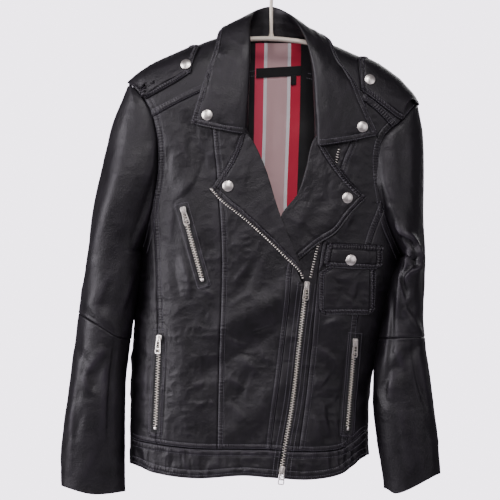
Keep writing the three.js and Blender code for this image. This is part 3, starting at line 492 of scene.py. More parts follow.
def bodyRelief(angle, z):
    # creases, seams and wrinkles, outwards from the body's form
    place = bodyRing(angle, z)
    x, y = place[..., 0], place[..., 1]
    ahead = np.sin(angle) < 0
    facing = np.abs(np.sin(angle)) ** 0.5
    total = np.zeros(np.shape(x))
    girth = np.where(ahead, x, 600 - x) + (1 - facing) * y
    rough = np.clip(0.35 + 1.3 * valueNoise(girth / 70, z / 70, 3), 0, 1.3)
    rough = rough * np.clip((-z - 130) / 120, 0.25, 1)
    faces = ((True, frontCreases, frontBands, 11), (False, backCreases, backBands, 61))
    for front, creases, bands, seed in faces:
        chosen = ahead == front
        cx, cz = x[chosen], z[chosen]
        relief = creaseHeight(creases, cx, cz) + seamRelief(cx, cz, bands, seed)
        if front:
            relief = relief + welt(cx, cz)
        total[chosen] += relief
    total = total * facing
    total += (1 - facing) * creaseHeight(sideCreases, y, z)
    broad = 2.0 * (valueNoise(girth / 62, z / 85, 5) - 0.5)
    middle = 0.78 * wrinkles(girth, z * 0.8, 30, 21) * rough
    small = 0.42 * wrinkles(girth, z, 11, 31) * rough
    waist = np.clip((-z - 704) / 10, 0, 1) * 1.6 * wrinkles(girth, z * 0.3, 9, 51)
    total = (total + broad + middle + small + waist) * calmNear(x, np.where(ahead, z, 900))
    under = covered(x, np.where(ahead | (z > -240), z, 900))
    return total * (1 - under) + under * (np.minimum(total, 0) * 0.3 - 0.6)


def bodySurface(angle, z):
    # the leather's place and the outward normal of the form beneath it
    return onBody(angle, z, bodyRelief(angle, z)), bodyNormal(angle, z)


def makeMesh(name, points, faces, material, smooth=True):
    mesh = bpy.data.meshes.new(name)
    points = np.asarray(points, float).reshape(-1, 3) * mm
    mesh.from_pydata(points.tolist(), [], [list(map(int, face)) for face in faces])
    mesh.validate()
    mesh.update()
    if smooth:
        mesh.polygons.foreach_set("use_smooth", [True] * len(mesh.polygons))
    piece = bpy.data.objects.new(name, mesh)
    bpy.context.scene.collection.objects.link(piece)
    if material is not None:
        mesh.materials.append(material)
    return piece


def gridFaces(rows, columns, closed):
    i, j = np.meshgrid(np.arange(rows - 1), np.arange(columns if closed else columns - 1), indexing="ij")
    a = i * columns + j
    b = i * columns + (j + 1) % columns
    return np.stack([a, b, b + columns, a + columns], axis=-1).reshape(-1, 4)


def gridPiece(name, grid, material, closed=False, data=None):
    piece = makeMesh(name, grid, gridFaces(*grid.shape[:2], closed), material)
    for key, values in (data or {}).items():
        layer = piece.data.attributes.new(key, "FLOAT", "POINT")
        layer.data.foreach_set("value", np.asarray(values, np.float32).reshape(-1))
    return piece


def gridNormals(grid):
    across = np.gradient(grid, axis=1)
    down = np.gradient(grid, axis=0)
    return unit(np.cross(across, down))


def edgeRuns(grid):
    # for each point of a grid, its distances from the first and last column and the first and last row
    across = np.linalg.norm(np.diff(grid, axis=1), axis=-1)
    down = np.linalg.norm(np.diff(grid, axis=0), axis=-1)
    fromLeft = np.concatenate([np.zeros((grid.shape[0], 1)), np.cumsum(across, axis=1)], axis=1)
    fromTop = np.concatenate([np.zeros((1, grid.shape[1])), np.cumsum(down, axis=0)], axis=0)
    return {"left": fromLeft, "right": fromLeft[:, -1:] - fromLeft,
            "top": fromTop, "bottom": fromTop[-1:] - fromTop}


def thicken(piece, thick):
    solid = piece.modifiers.new("thickness", "SOLIDIFY")
    solid.thickness = thick * mm
    solid.offset = -1
    solid.use_even_offset = False
    bevel = piece.modifiers.new("edge", "BEVEL")
    bevel.width = thick * mm * 0.32
    bevel.segments = 2
    bevel.limit_method = "ANGLE"
    bevel.angle_limit = math.radians(50)
    return piece


stitchSets = {}
firstStitch, stitchPitch = 1.6, 3.3
# The two rows of stitches beside an edge.
nearRow, farRow = 1.6, 8.0


def stitchShape(length=2.7, wide=0.75, high=0.5):
    ring = [(0, wide / 2, 0), (0, 0, high), (0, -wide / 2, 0), (0, 0, -high)]
    points = [(-length / 2, 0, -high)]
    for x in (-length * 0.28, length * 0.28):
        points += [(x, b, c) for _, b, c in ring]
    points.append((length / 2, 0, -high))
    faces = [(0, 1 + (k + 1) % 4, 1 + k) for k in range(4)]
    faces += [(1 + k, 1 + (k + 1) % 4, 5 + (k + 1) % 4, 5 + k) for k in range(4)]
    faces += [(9, 5 + k, 5 + (k + 1) % 4) for k in range(4)]
    return np.array(points), faces


def addStitches(key, places, normals, lift=0.15):
    if len(places) < 2:
        return
    joined = np.hstack([places, normals])
    run = runOf(places)
    at = np.arange(firstStitch, run[-1], stitchPitch)
    sampled = readAt(at, run, joined)
    ahead = readAt(at + 0.5, run, places)
    behind = readAt(at - 0.5, run, places)
    along = ahead - behind
    along = unit(along)
    up = unit(sampled[:, 3:])
    aside = np.cross(up, along)
    stitchSets.setdefault(key, []).append((sampled[:, :3] + up * lift, along, aside, up))


def scatter(name, shape, frames, material):
    # one mesh of many copies of a small shape, each turned into its own frame
    points, faces = shape
    places, along, aside, up = (np.vstack([part[k] for part in frames]) for k in range(4))
    copies = (places[:, None, :] + points[None, :, 0:1] * along[:, None, :]
              + points[None, :, 1:2] * aside[:, None, :] + points[None, :, 2:3] * up[:, None, :])
    count = len(points)
    allFaces = [tuple(v + k * count for v in face) for k in range(len(places)) for face in faces]
    return makeMesh(name, copies.reshape(-1, 3), allFaces, material)


# Materials: one small function adds a node with its settings and links.
def linear(code):
    channels = [int(code[i:i + 2], 16) / 255 for i in (0, 2, 4)]
    return [c / 12.92 if c <= 0.04045 else ((c + 0.055) / 1.055) ** 2.4 for c in channels] + [1.0]


def addNode(material, kind, settings=None, values=None, links=None):
    node = material.node_tree.nodes.new(kind)
    for key, value in (settings or {}).items():
        setattr(node, key, value)
    for key, value in (values or {}).items():
        node.inputs[key].default_value = value
    for key, source in (links or {}).items():
        material.node_tree.links.new(source, node.inputs[key])
    return node


def newMaterial(name):
    material = bpy.data.materials.new(name)
    material.use_nodes = True
    shader = material.node_tree.nodes["Principled BSDF"]
    return material, shader


def link(material, source, target):
    material.node_tree.links.new(source, target)


def objectPlace(material, scale=1.0):
    place = addNode(material, "ShaderNodeTexCoord")
    sized = addNode(material, "ShaderNodeMapping", values={"Scale": (scale, scale, scale)},
                    links={"Vector": place.outputs["Object"]})
    return sized.outputs["Vector"]


def rampNode(material, source, stops, interpolation="LINEAR"):
    ramp = addNode(material, "ShaderNodeValToRGB", links={"Fac": source})
    ramp.color_ramp.interpolation = interpolation
    while len(ramp.color_ramp.elements) < len(stops):
        ramp.color_ramp.elements.new(0.5)
    for element, (place, colour) in zip(ramp.color_ramp.elements, stops):
        element.position = place
        element.color = colour
    return ramp.outputs["Color"]


# Soft black hide: pebbled grain about 1 mm wide, fine wrinkles, and paler places on what stands proud, partly
# rubbed wear and partly a painted highlight on ridges and stitched ribs.
def leatherMaterial(name, dark, light, grainScale, rough):
    material, shader = newMaterial(name)
    place = objectPlace(material, 1000)
    grain = addNode(material, "ShaderNodeTexVoronoi", {"feature": "SMOOTH_F1"},
                    {"Scale": grainScale, "Smoothness": 0.6, "Randomness": 1.0}, {"Vector": place})
    fineLines = addNode(material, "ShaderNodeTexNoise", None,
                        {"Scale": 0.35, "Detail": 6.0, "Roughness": 0.62}, {"Vector": place})
    cloud = addNode(material, "ShaderNodeTexNoise", values={"Scale": 0.03, "Detail": 4.0, "Roughness": 0.55},
                    links={"Vector": place})
    rub_and_highlight = addNode(material, "ShaderNodeAttribute", {"attribute_name": "rub_and_highlight"})
    mixed = addNode(material, "ShaderNodeMath", {"operation": "MULTIPLY_ADD"}, {1: 0.55, 2: 0.0},
                    {0: cloud.outputs["Fac"]})
    # the rub mask lightens the base colour on raised places: wear plus a painted highlight
    rubbedAndHighlit = addNode(material, "ShaderNodeMath", {"operation": "MULTIPLY_ADD"}, {1: 0.9},
                     {0: rub_and_highlight.outputs["Fac"], 2: mixed.outputs["Value"]})
    colour = rampNode(material, rubbedAndHighlit.outputs["Value"], [(0.12, linear(dark)), (1.0, linear(light))])
    link(material, colour, shader.inputs["Base Color"])
    roughness = addNode(material, "ShaderNodeMapRange", None,
                        {"From Min": 0.3, "From Max": 0.7, "To Min": rough - 0.07, "To Max": rough + 0.09},
                        {"Value": cloud.outputs["Fac"]})
    link(material, roughness.outputs["Result"], shader.inputs["Roughness"])
    grainBump = addNode(material, "ShaderNodeBump", values={"Strength": 0.35, "Distance": 0.00022},
                        links={"Height": grain.outputs["Distance"]})
    lineBump = addNode(material, "ShaderNodeBump", values={"Strength": 0.6, "Distance": 0.0009},
                       links={"Height": fineLines.outputs["Fac"], "Normal": grainBump.outputs["Normal"]})
    link(material, lineBump.outputs["Normal"], shader.inputs["Normal"])
    shader.inputs["IOR"].default_value = 1.43
    shader.inputs["Coat Weight"].default_value = 0.06
    shader.inputs["Coat Roughness"].default_value = 0.36
    return material


# Plated zips and snaps: bright grey nickel, a little yellow, with faint cloudy wear.
def metalMaterial(name, colour, low, high):
    material, shader = newMaterial(name)
    wear = addNode(material, "ShaderNodeTexNoise", values={"Scale": 260.0, "Detail": 3.0},
                   links={"Vector": objectPlace(material)})
    shade = rampNode(material, wear.outputs["Fac"], [(0.3, linear(colour)), (0.8, linear("f1eee8"))])
    link(material, shade, shader.inputs["Base Color"])
    rough = addNode(material, "ShaderNodeMapRange", values={"To Min": low, "To Max": high},
                    links={"Value": wear.outputs["Fac"]})
    link(material, rough.outputs["Result"], shader.inputs["Roughness"])
    shader.inputs["Metallic"].default_value = 1.0
    return material


# Plain woven cloth with its threads about half a millimetre apart.
def clothMaterial(name, colour, rough, pitch=0.5):
    material, shader = newMaterial(name)
    place = objectPlace(material, 1000)
    weave = addNode(material, "ShaderNodeTexWave", {"wave_type": "BANDS", "bands_direction": "DIAGONAL"},
                    {"Scale": 0.35 / pitch, "Distortion": 0.6, "Detail": 1.0}, {"Vector": place})
    tone = addNode(material, "ShaderNodeTexNoise", None, {"Scale": 0.06, "Detail": 3.0}, {"Vector": place})
    if isinstance(colour, str):
        base = rampNode(material, tone.outputs["Fac"],
                        [(0.3, linear(colour)), (0.75, [c * 1.25 for c in linear(colour)[:3]] + [1])])
    else:
        stripe = addNode(material, "ShaderNodeAttribute", {"attribute_name": "stripe"})
        base = rampNode(material, stripe.outputs["Fac"], colour, "CONSTANT")
    link(material, base, shader.inputs["Base Color"])
    shader.inputs["Roughness"].default_value = rough
    shader.inputs["Sheen Weight"].default_value = 0.25
    bumpNode = addNode(material, "ShaderNodeBump", values={"Strength": 0.3, "Distance": 0.0002},
                       links={"Height": weave.outputs["Fac"]})
    link(material, bumpNode.outputs["Normal"], shader.inputs["Normal"])
    return material


# Enamelled hanger: warm cream with faint orange-peel.
def enamelMaterial(name, colour):
    material, shader = newMaterial(name)
    peel = addNode(material, "ShaderNodeTexNoise", values={"Scale": 220.0, "Detail": 2.0},
                   links={"Vector": objectPlace(material)})
    tone = rampNode(material, peel.outputs["Fac"], [(0.2, linear(colour)), (0.9, linear("f3eadb"))])
    link(material, tone, shader.inputs["Base Color"])
    shader.inputs["Roughness"].default_value = 0.42
    bumpNode = addNode(material, "ShaderNodeBump", values={"Strength": 0.2, "Distance": 0.0003},
                       links={"Height": peel.outputs["Fac"]})
    link(material, bumpNode.outputs["Normal"], shader.inputs["Normal"])
    return material


stripes = [(0.0, "08080a"), (0.277, "ee4a68"), (0.406, "ffffff"), (0.450, "e6bebd"), (0.750, "ffffff"),
           (0.795, "dc1f45"), (0.940, "08080a")]
finishes = {
    "leather": leatherMaterial("black_leather", "050406", "221d25", 1.0, 0.46),
    "trim": leatherMaterial("black_leather_trim", "050406", "272229", 1.1, 0.46),
    "metal": metalMaterial("nickel_plate", "f0eae0", 0.26, 0.42),
    "teeth": metalMaterial("zip_metal", "f6eedf", 0.34, 0.48),
    "tape": clothMaterial("zip_tape_cloth", "0b0b0d", 0.85),
    "lining": clothMaterial("striped_lining", [(place, linear(code)) for place, code in stripes], 0.62, 0.3),
    "label": clothMaterial("woven_label", "0c0c0e", 0.7, 0.4),
    "thread": clothMaterial("black_thread", "524f58", 0.55, 0.3),
    "hanger": enamelMaterial("cream_enamel", "e8dcc6"),
}
print("materials made")


# Panels of the body. Each lies between two lines that run down and two that run across.
def runTable():
    z = np.linspace(-97, -790, 694)
    right, _ = bodyEdges(z)
    slope = np.abs(np.gradient(right, z))
    return z, np.concatenate([[0], np.cumsum(np.sqrt(1 + (0.7 * slope[1:]) ** 2))])


levelHeights, levelRuns = runTable()
# A panel's rim turns in under its neighbours.
rim = [-3.0, -1.5, -0.45]
settleSteps, settleShare, smoothSteps = 44, 0.22, 50


def toRun(z):
    return np.interp(-z, -levelHeights, levelRuns)


def toHeight(run):
    return np.interp(run, levelRuns, levelHeights)


def withRim(count):
    inner = np.linspace(0, 1, count)
    outs = np.concatenate([rim, np.zeros(count), rim[::-1]])
    return np.concatenate([[0, 0, 0], inner, [1, 1, 1]]), outs


def panelGrid(fromAngle, toAngle, top, bottom, columns, rows):
    s, outColumns = withRim(columns)
    t, outRows = withRim(rows)
    s, t = np.meshgrid(s, t)
    out = np.minimum(outColumns[None, :], outRows[:, None])
    z = np.full(s.shape, -300.0)
    for _ in range(settleSteps):
        angle = fromAngle(z) + (toAngle(z) - fromAngle(z)) * s
        x = bodyRing(angle, z)[..., 0]
        ahead = np.sin(angle) < 0
        high, low = toRun(top(x, ahead)), toRun(bottom(x, ahead))
        z = z + settleShare * (toHeight(high + (low - high) * t) - z)
    for _ in range(smoothSteps):
        z[5:-5, 5:-5] = (z[4:-6, 5:-5] + z[6:-4, 5:-5] + z[5:-5, 4:-6] + z[5:-5, 6:-4]) / 4
    angle = fromAngle(z) + (toAngle(z) - fromAngle(z)) * s
    relief = bodyRelief(angle, z)
    return onBody(angle, z, relief + out), relief


def lineAngle(pieces):
    # pieces: the lines that bound a panel, each with the height below which it takes over
    def at(z):
        x = acrossAt(pieces[0][0], z, pieces[0][1])
        for name, move, start in pieces[1:]:
            x = np.where(z < start, acrossAt(name, z, move), x)
        return frontAngle(x, z)
    return at


def across(front, back):
    def at(x, ahead):
        return np.where(ahead, heightAt(front, x), heightAt(back, x))
    return at


def level(height):
    def at(x, ahead):
        return np.full(np.shape(x), float(height))
    return at


lines["meeting"] = fine([(12, -366), (26, -407), (37, -435), (50, -470)])
underRight = np.array([(-230, -424), (-190, -424), (-182, -395), (-172, -353), (-160, -340)], float)
underLeft = np.array([(161, -340), (168, -378), (180, -407), (191, -432), (230, -432)], float)
neckBack = np.array([(-70, -97), (-60, -98), (-52, -105), (-36, -110), (0, -112), (38, -109), (54, -106),
                     (62, -100), (72, -97)], float)


def alongLine(line):
    def at(x, ahead):
        return np.interp(x, line[:, 0], line[:, 1])
    return at


waistLine, hemLine = across("waistFront", "waistBack"), across("hemFront", "hemBack")
yokeRightLine, yokeLeftLine = across("yokeRight", "yokeRight"), across("yokeLeft", "yokeLeft")
rightOuter = lineAngle([("armholeRight", 0), ("sideRight", 0, -352)])
leftOuter = lineAngle([("armholeLeft", 0), ("sideLeft", 0, -352)])
princess = lineAngle([("princessRight", 0)])
rightEdge = lineAngle([("rollRight", -3.5), ("placketRight", 0, -430)])
placketEdge = lineAngle([("rollRight", -3.5), ("zip", -3.7, -467)])
placketSeam = lineAngle([("placketRight", 0)])
leftEdge = lineAngle([("rollLeft", 3.5), ("meeting", 0.6, -372), ("zip", 3.7, -469)])
leftSeam = lineAngle([("placketLeft", 0)])
sideLeftLine, sideRightLine = lineAngle([("sideLeft", 0)]), lineAngle([("sideRight", 0)])
zipLeft, zipRight = lineAngle([("zip", 3.7)]), lineAngle([("zip", -3.7)])

panels = {
    "yoke_right": (rightOuter, lineAngle([("rollRight", -3.5)]), level(-97), yokeRightLine, 100, 70),
    "yoke_left": (lineAngle([("rollLeft", 3.5)]), leftOuter, level(-97), yokeLeftLine, 96, 76),
    "front_right_side": (rightOuter, princess, yokeRightLine, waistLine, 62, 350),
    "front_right_centre": (princess, rightEdge, yokeRightLine, waistLine, 64, 360),
    "placket_right": (placketSeam, placketEdge, level(-432), waistLine, 18, 200),
    "placket_left": (leftEdge, leftSeam, yokeLeftLine, waistLine, 40, 370),
    "front_left": (leftSeam, leftOuter, yokeLeftLine, waistLine, 60, 360),
    "side_left": (sideLeftLine, lambda z: -sideLeftLine(z), alongLine(underLeft), waistLine, 60, 150),
    "side_right": (lambda z: -2 * np.pi - sideRightLine(z), sideRightLine, alongLine(underRight), waistLine,
                   64, 150),
    "back_panel": (lambda z: -leftOuter(z), lambda z: -rightOuter(z), alongLine(neckBack), waistLine,
                   150, 230),
    "waistband": (zipLeft, lambda z: 2 * np.pi + zipRight(z), waistLine, hemLine, 560, 30),
}


def rubAndHighlightOf(relief):
    # what stands proud of its neighbourhood is painted paler: partly rubbed wear, partly a painted highlight
    # on ridges and stitched ribs
    low = relief - 0.25 * (np.roll(relief, 5, 0) + np.roll(relief, -5, 0) + np.roll(relief, 5, 1)
                           + np.roll(relief, -5, 1))
    near = relief - 0.25 * (np.roll(relief, 2, 0) + np.roll(relief, -2, 0) + np.roll(relief, 2, 1)
                            + np.roll(relief, -2, 1))
    return np.clip(low * 0.2 + near * 0.3, 0, 0.6)


def faceOut(piece, centre):
    # faces turned so that their normals point away from a place
    mesh = piece.data
    middle = np.array(centre, float) * mm
    total = 0.0
    for polygon in list(mesh.polygons)[::max(len(mesh.polygons) // 400, 1)]:
        total += float(np.dot(np.array(polygon.normal), np.array(polygon.center) - middle))
    if total < 0:
        mesh.flip_normals()


def clothPiece(name, node, grid, finish, relief, centre=(0, 0, -450)):
    # the rub attribute carries wear plus a painted highlight on the piece's ridges
    piece = gridPiece(name, grid, finishes[finish], data={"rub_and_highlight": rubAndHighlightOf(relief)})
    faceOut(piece, centre)
    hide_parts(node)
    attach(piece, bodyName)
    return piece


for name, (start, end, top, bottom, columns, rows) in panels.items():
    grid, relief = panelGrid(start, end, top, bottom, columns, rows)
    centre = (np.mean(grid[..., 0]) * 0.6, 0, -540) if "side_" in name[:5] else (0, 0, -450)
    clothPiece(name + "_leather", name, grid, "leather", relief, centre)
print("body panels made")


# Sleeves: share runs from the seam at the front limit, round the outer side, to the seam at the back.
sleeveSign = {"right": -1, "left": 1}
armholeName = {"right": "armholeRight", "left": "armholeLeft"}
underarmHeight = {"right": -424.0, "left": -432.0}
armholeTop = {"right": -166.0, "left": -196.0}


def sleevePoint(side, share, z):
    rows, sign = sleeveRows[side], sleeveSign[side]
    out = column(rows, sleeveColumns, "out", z)
    shift = column(rows, sleeveColumns, "shift", z)
    seamX = acrossAt(armholeName[side], z)
    above = z > underarmHeight[side]
    rise = (z - underarmHeight[side]) / (armholeTop[side] - underarmHeight[side])
    inner = np.where(above, seamX, column(rows, sleeveColumns, "inner", z))
    centre = np.where(above, seamX + (0.5 - 0.3 * rise) * (out - seamX), (out + inner) / 2)
    acrossBody = np.minimum(np.abs(shareAcross(seamX, z)), 1)
    part = (1 - acrossBody**bodyBulge) ** (1 / bodyBulge)
    limits = []
    for name in ("front", "back"):
        seamDepth = np.where(above, part * column(bodyRows, bodyColumns, name, z), 0)
        depth = np.maximum(column(rows, sleeveColumns, name, z), seamDepth + 1)
        shrink = (1 - (seamDepth / depth) ** sleeveBulge) ** (1 / sleeveBulge)
        limits.append((depth, shrink, np.pi - np.arccos(shrink ** (sleeveBulge / 2))))
    angle = limits[0][2] * (1 - share) - limits[1][2] * share
    ahead = np.sin(angle) > 0
    depth = np.where(ahead, limits[0][0], limits[1][0])
    shrink = np.where(ahead, limits[0][1], limits[1][1])
    half = np.where(np.cos(angle) > 0, np.abs(out - centre), np.abs(centre - inner) / shrink)
    swell = np.zeros(np.shape(angle))
    for a0, z0, a1, z1, spread, height in sleeveFolds[side]:
        t = np.clip((z - z0) / (z1 - z0), 0, 1)
        turn = (np.degrees(angle) - a0 - t * (a1 - a0)) / spread
        swell += height * np.exp(-turn * turn - ((z - z0 - t * (z1 - z0)) / 20) ** 2)
    cross = power(np.cos(angle), 2 / sleeveBulge)
    forward = power(np.sin(angle), 2 / sleeveBulge)
    return np.stack([centre + sign * (half + np.where(cross > 0, swell, 0)) * cross,
                     shift - (depth + swell) * forward, z + 0 * angle], axis=-1), np.degrees(angle)


# Creases round the sleeves, [angle, z] from and to, width in mm, height, bow; 0.8 mm to a degree.
sleeveCreases = {
    "right": [
        (128, -235, 112, -330, 9, 3.0, 6), (138, -300, 120, -420, 9, -4.5, 4),
        (60, -230, 50, -420, 13, 2.4, -4), (30, -250, 26, -420, 12, -1.6, 3),
        (96, -560, 62, -600, 7, 3.0, -4), (62, -598, 88, -632, 7, 2.8, 4),
        (88, -570, 74, -640, 10, -2.8, -4), (52, -560, 46, -690, 9, 2.0, 4),
        (40, -640, 44, -748, 9, 1.8, -4), (118, -545, 122, -700, 5, -2.6, 3),
        (112, -560, 108, -700, 6, 1.8, 2), (20, -450, 22, -520, 10, 1.4, 3),
        (88, -450, 70, -520, 9, 1.8, 3), (96, -690, 70, -755, 8, 1.6, -4),
        (-40, -280, -60, -430, 12, 2.4, 5), (-90, -330, -60, -460, 10, -2.4, 4),
        (-70, -520, -30, -570, 8, 2.6, 4), (-60, -600, -95, -660, 9, 2.4, -4),
        (-30, -640, -40, -750, 9, 1.8, 3), (-120, -470, -90, -560, 8, 2.0, 3),
        (0, -560, -10, -700, 9, 1.5, 4), (140, -450, 120, -520, 7, 2.0, 2),
        (70, -650, 60, -700, 7, -1.3, 2),
    ],
    "left": [
        (118, -250, 100, -352, 10, 3.2, -5), (84, -240, 78, -340, 10, -2.6, 4),
        (60, -250, 64, -330, 9, 2.0, 3), (112, -382, 66, -408, 6, 7.0, -6),
        (104, -398, 70, -420, 6, -6.0, -4), (66, -404, 52, -450, 7, 7.2, -6),
        (54, -446, 96, -474, 6, 7.0, -9), (98, -430, 70, -446, 7, -6.0, 3),
        (106, -462, 86, -492, 6, -5.0, 3), (112, -420, 100, -452, 6, 5.0, 4),
        (124, -420, 112, -520, 8, 3.6, 6), (134, -480, 116, -600, 8, -3.4, 5),
        (100, -470, 88, -520, 8, 2.4, 3), (96, -500, 60, -512, 7, -2.0, 2),
        (100, -590, 116, -640, 7, 2.8, -3), (110, -560, 84, -596, 7, 2.2, 4),
        (84, -560, 80, -640, 8, -1.8, 3), (64, -548, 40, -660, 6, -3.0, -6),
        (52, -560, 30, -680, 8, 2.2, -5), (100, -640, 92, -750, 8, 1.8, 3),
        (74, -650, 66, -755, 8, 1.6, -3), (48, -680, 44, -745, 8, 1.4, 3),
        (-40, -290, -60, -420, 12, 2.6, 5), (-80, -360, -50, -470, 9, -3.0, 4),
        (-60, -520, -96, -570, 8, 2.8, -4), (-50, -620, -80, -680, 9, 2.2, 3),
        (-20, -600, -30, -740, 9, 1.6, 4), (-120, -450, -90, -560, 9, 2.2, 4),
        (20, -380, 10, -520, 10, 1.8, 4),
    ],
}
sleeveBands = {
    "right": ("elbowRight", "cuffRight"), "left": ("elbowLeft", "cuffLeft"),
}


def sleeveRelief(side, degrees, x, z):
    girth = degrees * 0.8
    creases = [(a0 * 0.8, z0, a1 * 0.8, z1, width, height, bow)
               for a0, z0, a1, z1, width, height, bow in sleeveCreases[side]]
    seed = 100 if side == "right" else 140
    relief = creaseHeight(creases, girth, z)
    relief += 2.2 * (valueNoise(girth / 42, z / 90, seed) - 0.5)
    strength = 0.35 + 0.8 * valueNoise(girth / 60, z / 60, seed + 1)
    relief += (0.8 * strength * wrinkles(girth, z * 0.8, 30, seed + 5)
               + 0.22 * wrinkles(girth, z, 11, seed + 9))
    elbow = z - heightAt(sleeveBands[side][0], x)
    relief -= 0.9 * bump(elbow, 1.1) + 0.35 * bump(np.abs(elbow) - 5.5, 0.9)
    relief += 0.35 * bump(elbow - 3, 2.4)
    hem = z - heightAt(sleeveBands[side][1], x)
    relief += 0.5 * (valueNoise(girth / 6, z / 30, seed + 12) - 0.5) * bump(hem, 16)
    if side == "right":
        forearm = girth - 116 * 0.8
        relief -= 1.0 * bump(forearm, 1.2) * np.clip((-z - 548) / 8, 0, 1) * np.clip((z + 740) / 60, 0, 1)
    return relief


def sleeveGrid(side, top, bottom, columns, rows, rimTop, rimBottom, crowding=1.0, tuck=False):
    share = np.linspace(0, 1, columns)
    inner = np.linspace(0, 1, rows) ** crowding
    t = np.concatenate([[0] * (3 if rimTop else 0), inner, [1] * (3 if rimBottom else 0)])
    out = np.concatenate([rim if rimTop else [], np.zeros(rows), rim[::-1] if rimBottom else []])
    share, t = np.meshgrid(share, t)
    z = np.full(share.shape, -500.0)
    for _ in range(8):
        place = sleevePoint(side, share, z)[0]
        high, low = top(place[..., 0]), bottom(place[..., 0])
        z = high + (low - high) * t
    place, degrees = sleevePoint(side, share, z)
    relief = sleeveRelief(side, degrees, place[..., 0], z)
    near = np.clip((z - underarmHeight[side]) / 20, 0, 1)
    edge = np.minimum(share, 1 - share)
    relief *= 1 - near * bump(edge, 0.03) * 0.8
    relief -= near * 0.9 * bump(edge, 0.01)

    def point(a, b):
        return sleevePoint(side, np.clip(a, 0, 1), b)[0]
    normal = normalOf(point, share, z, 0.004, 1.5)
    seam = np.abs(share - 0.5) > 0.496
    if np.any(seam):
        below = (z < underarmHeight[side]) & seam
        wrapped = np.array([-sleeveSign[side], 0, 0], float)
        normal = np.where(below[..., None], wrapped, normal)
    centre = place.mean(axis=1, keepdims=True)
    turned = np.sum(normal * (place - centre), axis=-1, keepdims=True)
    normal = normal * np.where(turned < 0, -1, 1)
    lift = relief + out[:, None]
    place = place + normal * lift[..., None]
    if not tuck:
        return place, relief
    # the edge at the armhole turns in under the body's panels
    ends = []
    for j, beside in ((0, 1), (-1, -2)):
        into = place[:, j] - place[:, beside]
        into[:, 2] = 0
        into = unit(into)
        inwards = np.array([-sleeveSign[side], 0, 0], float)
        depth = np.clip((z[:, j] - underarmHeight[side]) / 6, 0, 1)[:, None]
        first = place[:, j] - normal[:, j] * 0.8 * depth + inwards * 1.2 * depth
        last = place[:, j] - normal[:, j] * 3.0 * depth + inwards * 6.5 * depth
        ends.append((first, last))
    place = np.concatenate([ends[0][1][:, None], ends[0][0][:, None], place, ends[1][0][:, None],
                            ends[1][1][:, None]], axis=1)
    return place, np.pad(relief, ((0, 0), (2, 2)), mode="edge")


def flatLine(height):
    def at(x):
        return np.full(np.shape(x), float(height))
    return at


def lineOf(name, lift=0.0):
    def at(x):
        return heightAt(name, x, lift)
    return at


for side, top in (("right", -181.5), ("left", -209.5)):
    elbowName, cuffName = sleeveBands[side]
    upper, upperRelief = sleeveGrid(side, flatLine(top), lineOf(elbowName, 0.1), 124, 170, False, True, 1.25,
                                    True)
    lower, lowerRelief = sleeveGrid(side, lineOf(elbowName, -0.1), lineOf(cuffName), 124, 120, True, True)
    middle = (upper[..., 0].mean(), -5, -450)
    clothPiece(f"sleeve_{side}_upper_leather", f"sleeve_{side}_upper", upper, "leather", upperRelief, middle)
    clothPiece(f"sleeve_{side}_lower_leather", f"sleeve_{side}_lower", lower, "leather", lowerRelief, middle)
print("sleeves made")


# The collar: neck seam, roll, fall and edge at each station from the right end to the left end.
collarRows = np.array([
    [-33, -57, -249, -41, -68, -252, -78, -67, -245.5, -117, -59.5, -237],
    [-33, -54, -205, -36, -66, -206, -70, -65, -212, -108, -58.5, -206],
    [-32, -44, -165, -33, -59, -164, -66, -58, -168, -97, -51.5, -168],
    [-36, -30, -128, -31, -46, -121, -58, -45, -125, -84, -41, -132],
    [-44, -2, -104, -30, -18, -84, -53, -18, -90, -75, -14, -100],
    [-32, 12, -108, -20, 12, -70, -35, 29, -85, -54, 29, -103],
    [0, 18, -112, 0, 23, -65, 1, 35, -92, 2, 37, -128],
    [36, 12, -110, 21, 12, -73, 34, 29, -90, 50, 28.5, -110],
    [52, -4, -110, 37, -12, -88, 60, -14, -100, 84, -12, -112],
    [57, -30, -136, 53, -42, -121, 76, -43, -131, 98, -38, -142],
    [60, -44, -170, 62, -58, -158, 88, -58, -166, 120, -47.5, -174],
    [62, -53, -210, 66, -68, -206, 98, -64, -212, 138, -54.5, -215],
    [63, -57, -265, 69, -71, -269, 112, -66, -263.5, 156, -53.5, -254],
], float)


def collarGrid(columns, rows):
    stations = np.linspace(0, 1, columns)
    corners = [curve(collarRows[:, 3 * k:3 * k + 3], stations) for k in range(4)]
    falls = np.linspace(0, 1, rows)
    grid = np.empty((rows, columns, 3))
    for j in range(columns):
        grid[:, j] = curve([corner[j] for corner in corners], falls)
    return grid


def edgeBand(runs, edges, start, wide, seed, keep=1.0):
    # the stitched band along some edges of a piece
    total = 0
    for k, edge in enumerate(edges):
        along = runs["top"] if edge in ("left", "right") else runs["left"]
        total = total + keep * ladder(runs[edge], along, start, wide, seed + 17 * k)
    return total


def pieceRelief(grid, edges, seed, rough, start=1.6, wide=6.4, keep=1.5, puff=0.6):
    runs = edgeRuns(grid)
    u, v = runs["left"] + seed * 37.0, runs["top"] + seed * 11.0
    relief = rough * (0.7 * wrinkles(u, v, 24, seed) + 0.3 * wrinkles(u, v, 9, seed + 4))
    relief += 1.2 * rough * (valueNoise(u / 34, v / 40, seed + 8) - 0.5)
    nearest = np.full(grid.shape[:2], 1e9)
    for edge in edges:
        nearest = np.minimum(nearest, runs[edge])
    relief = relief + puff * (1 - np.exp(-nearest / 3.0))
    inside = np.clip((nearest - wide * 0.8) / 6, 0.25, 1)
    along = np.where(runs["left"] < runs["top"], runs["left"], runs["top"])
    draw = (valueNoise(along / 5.5, nearest / 14, seed + 13) - 0.5) * bump(nearest - 6, 8) * 0.9
    return relief * inside + draw + edgeBand(runs, edges, start, wide, seed, keep)


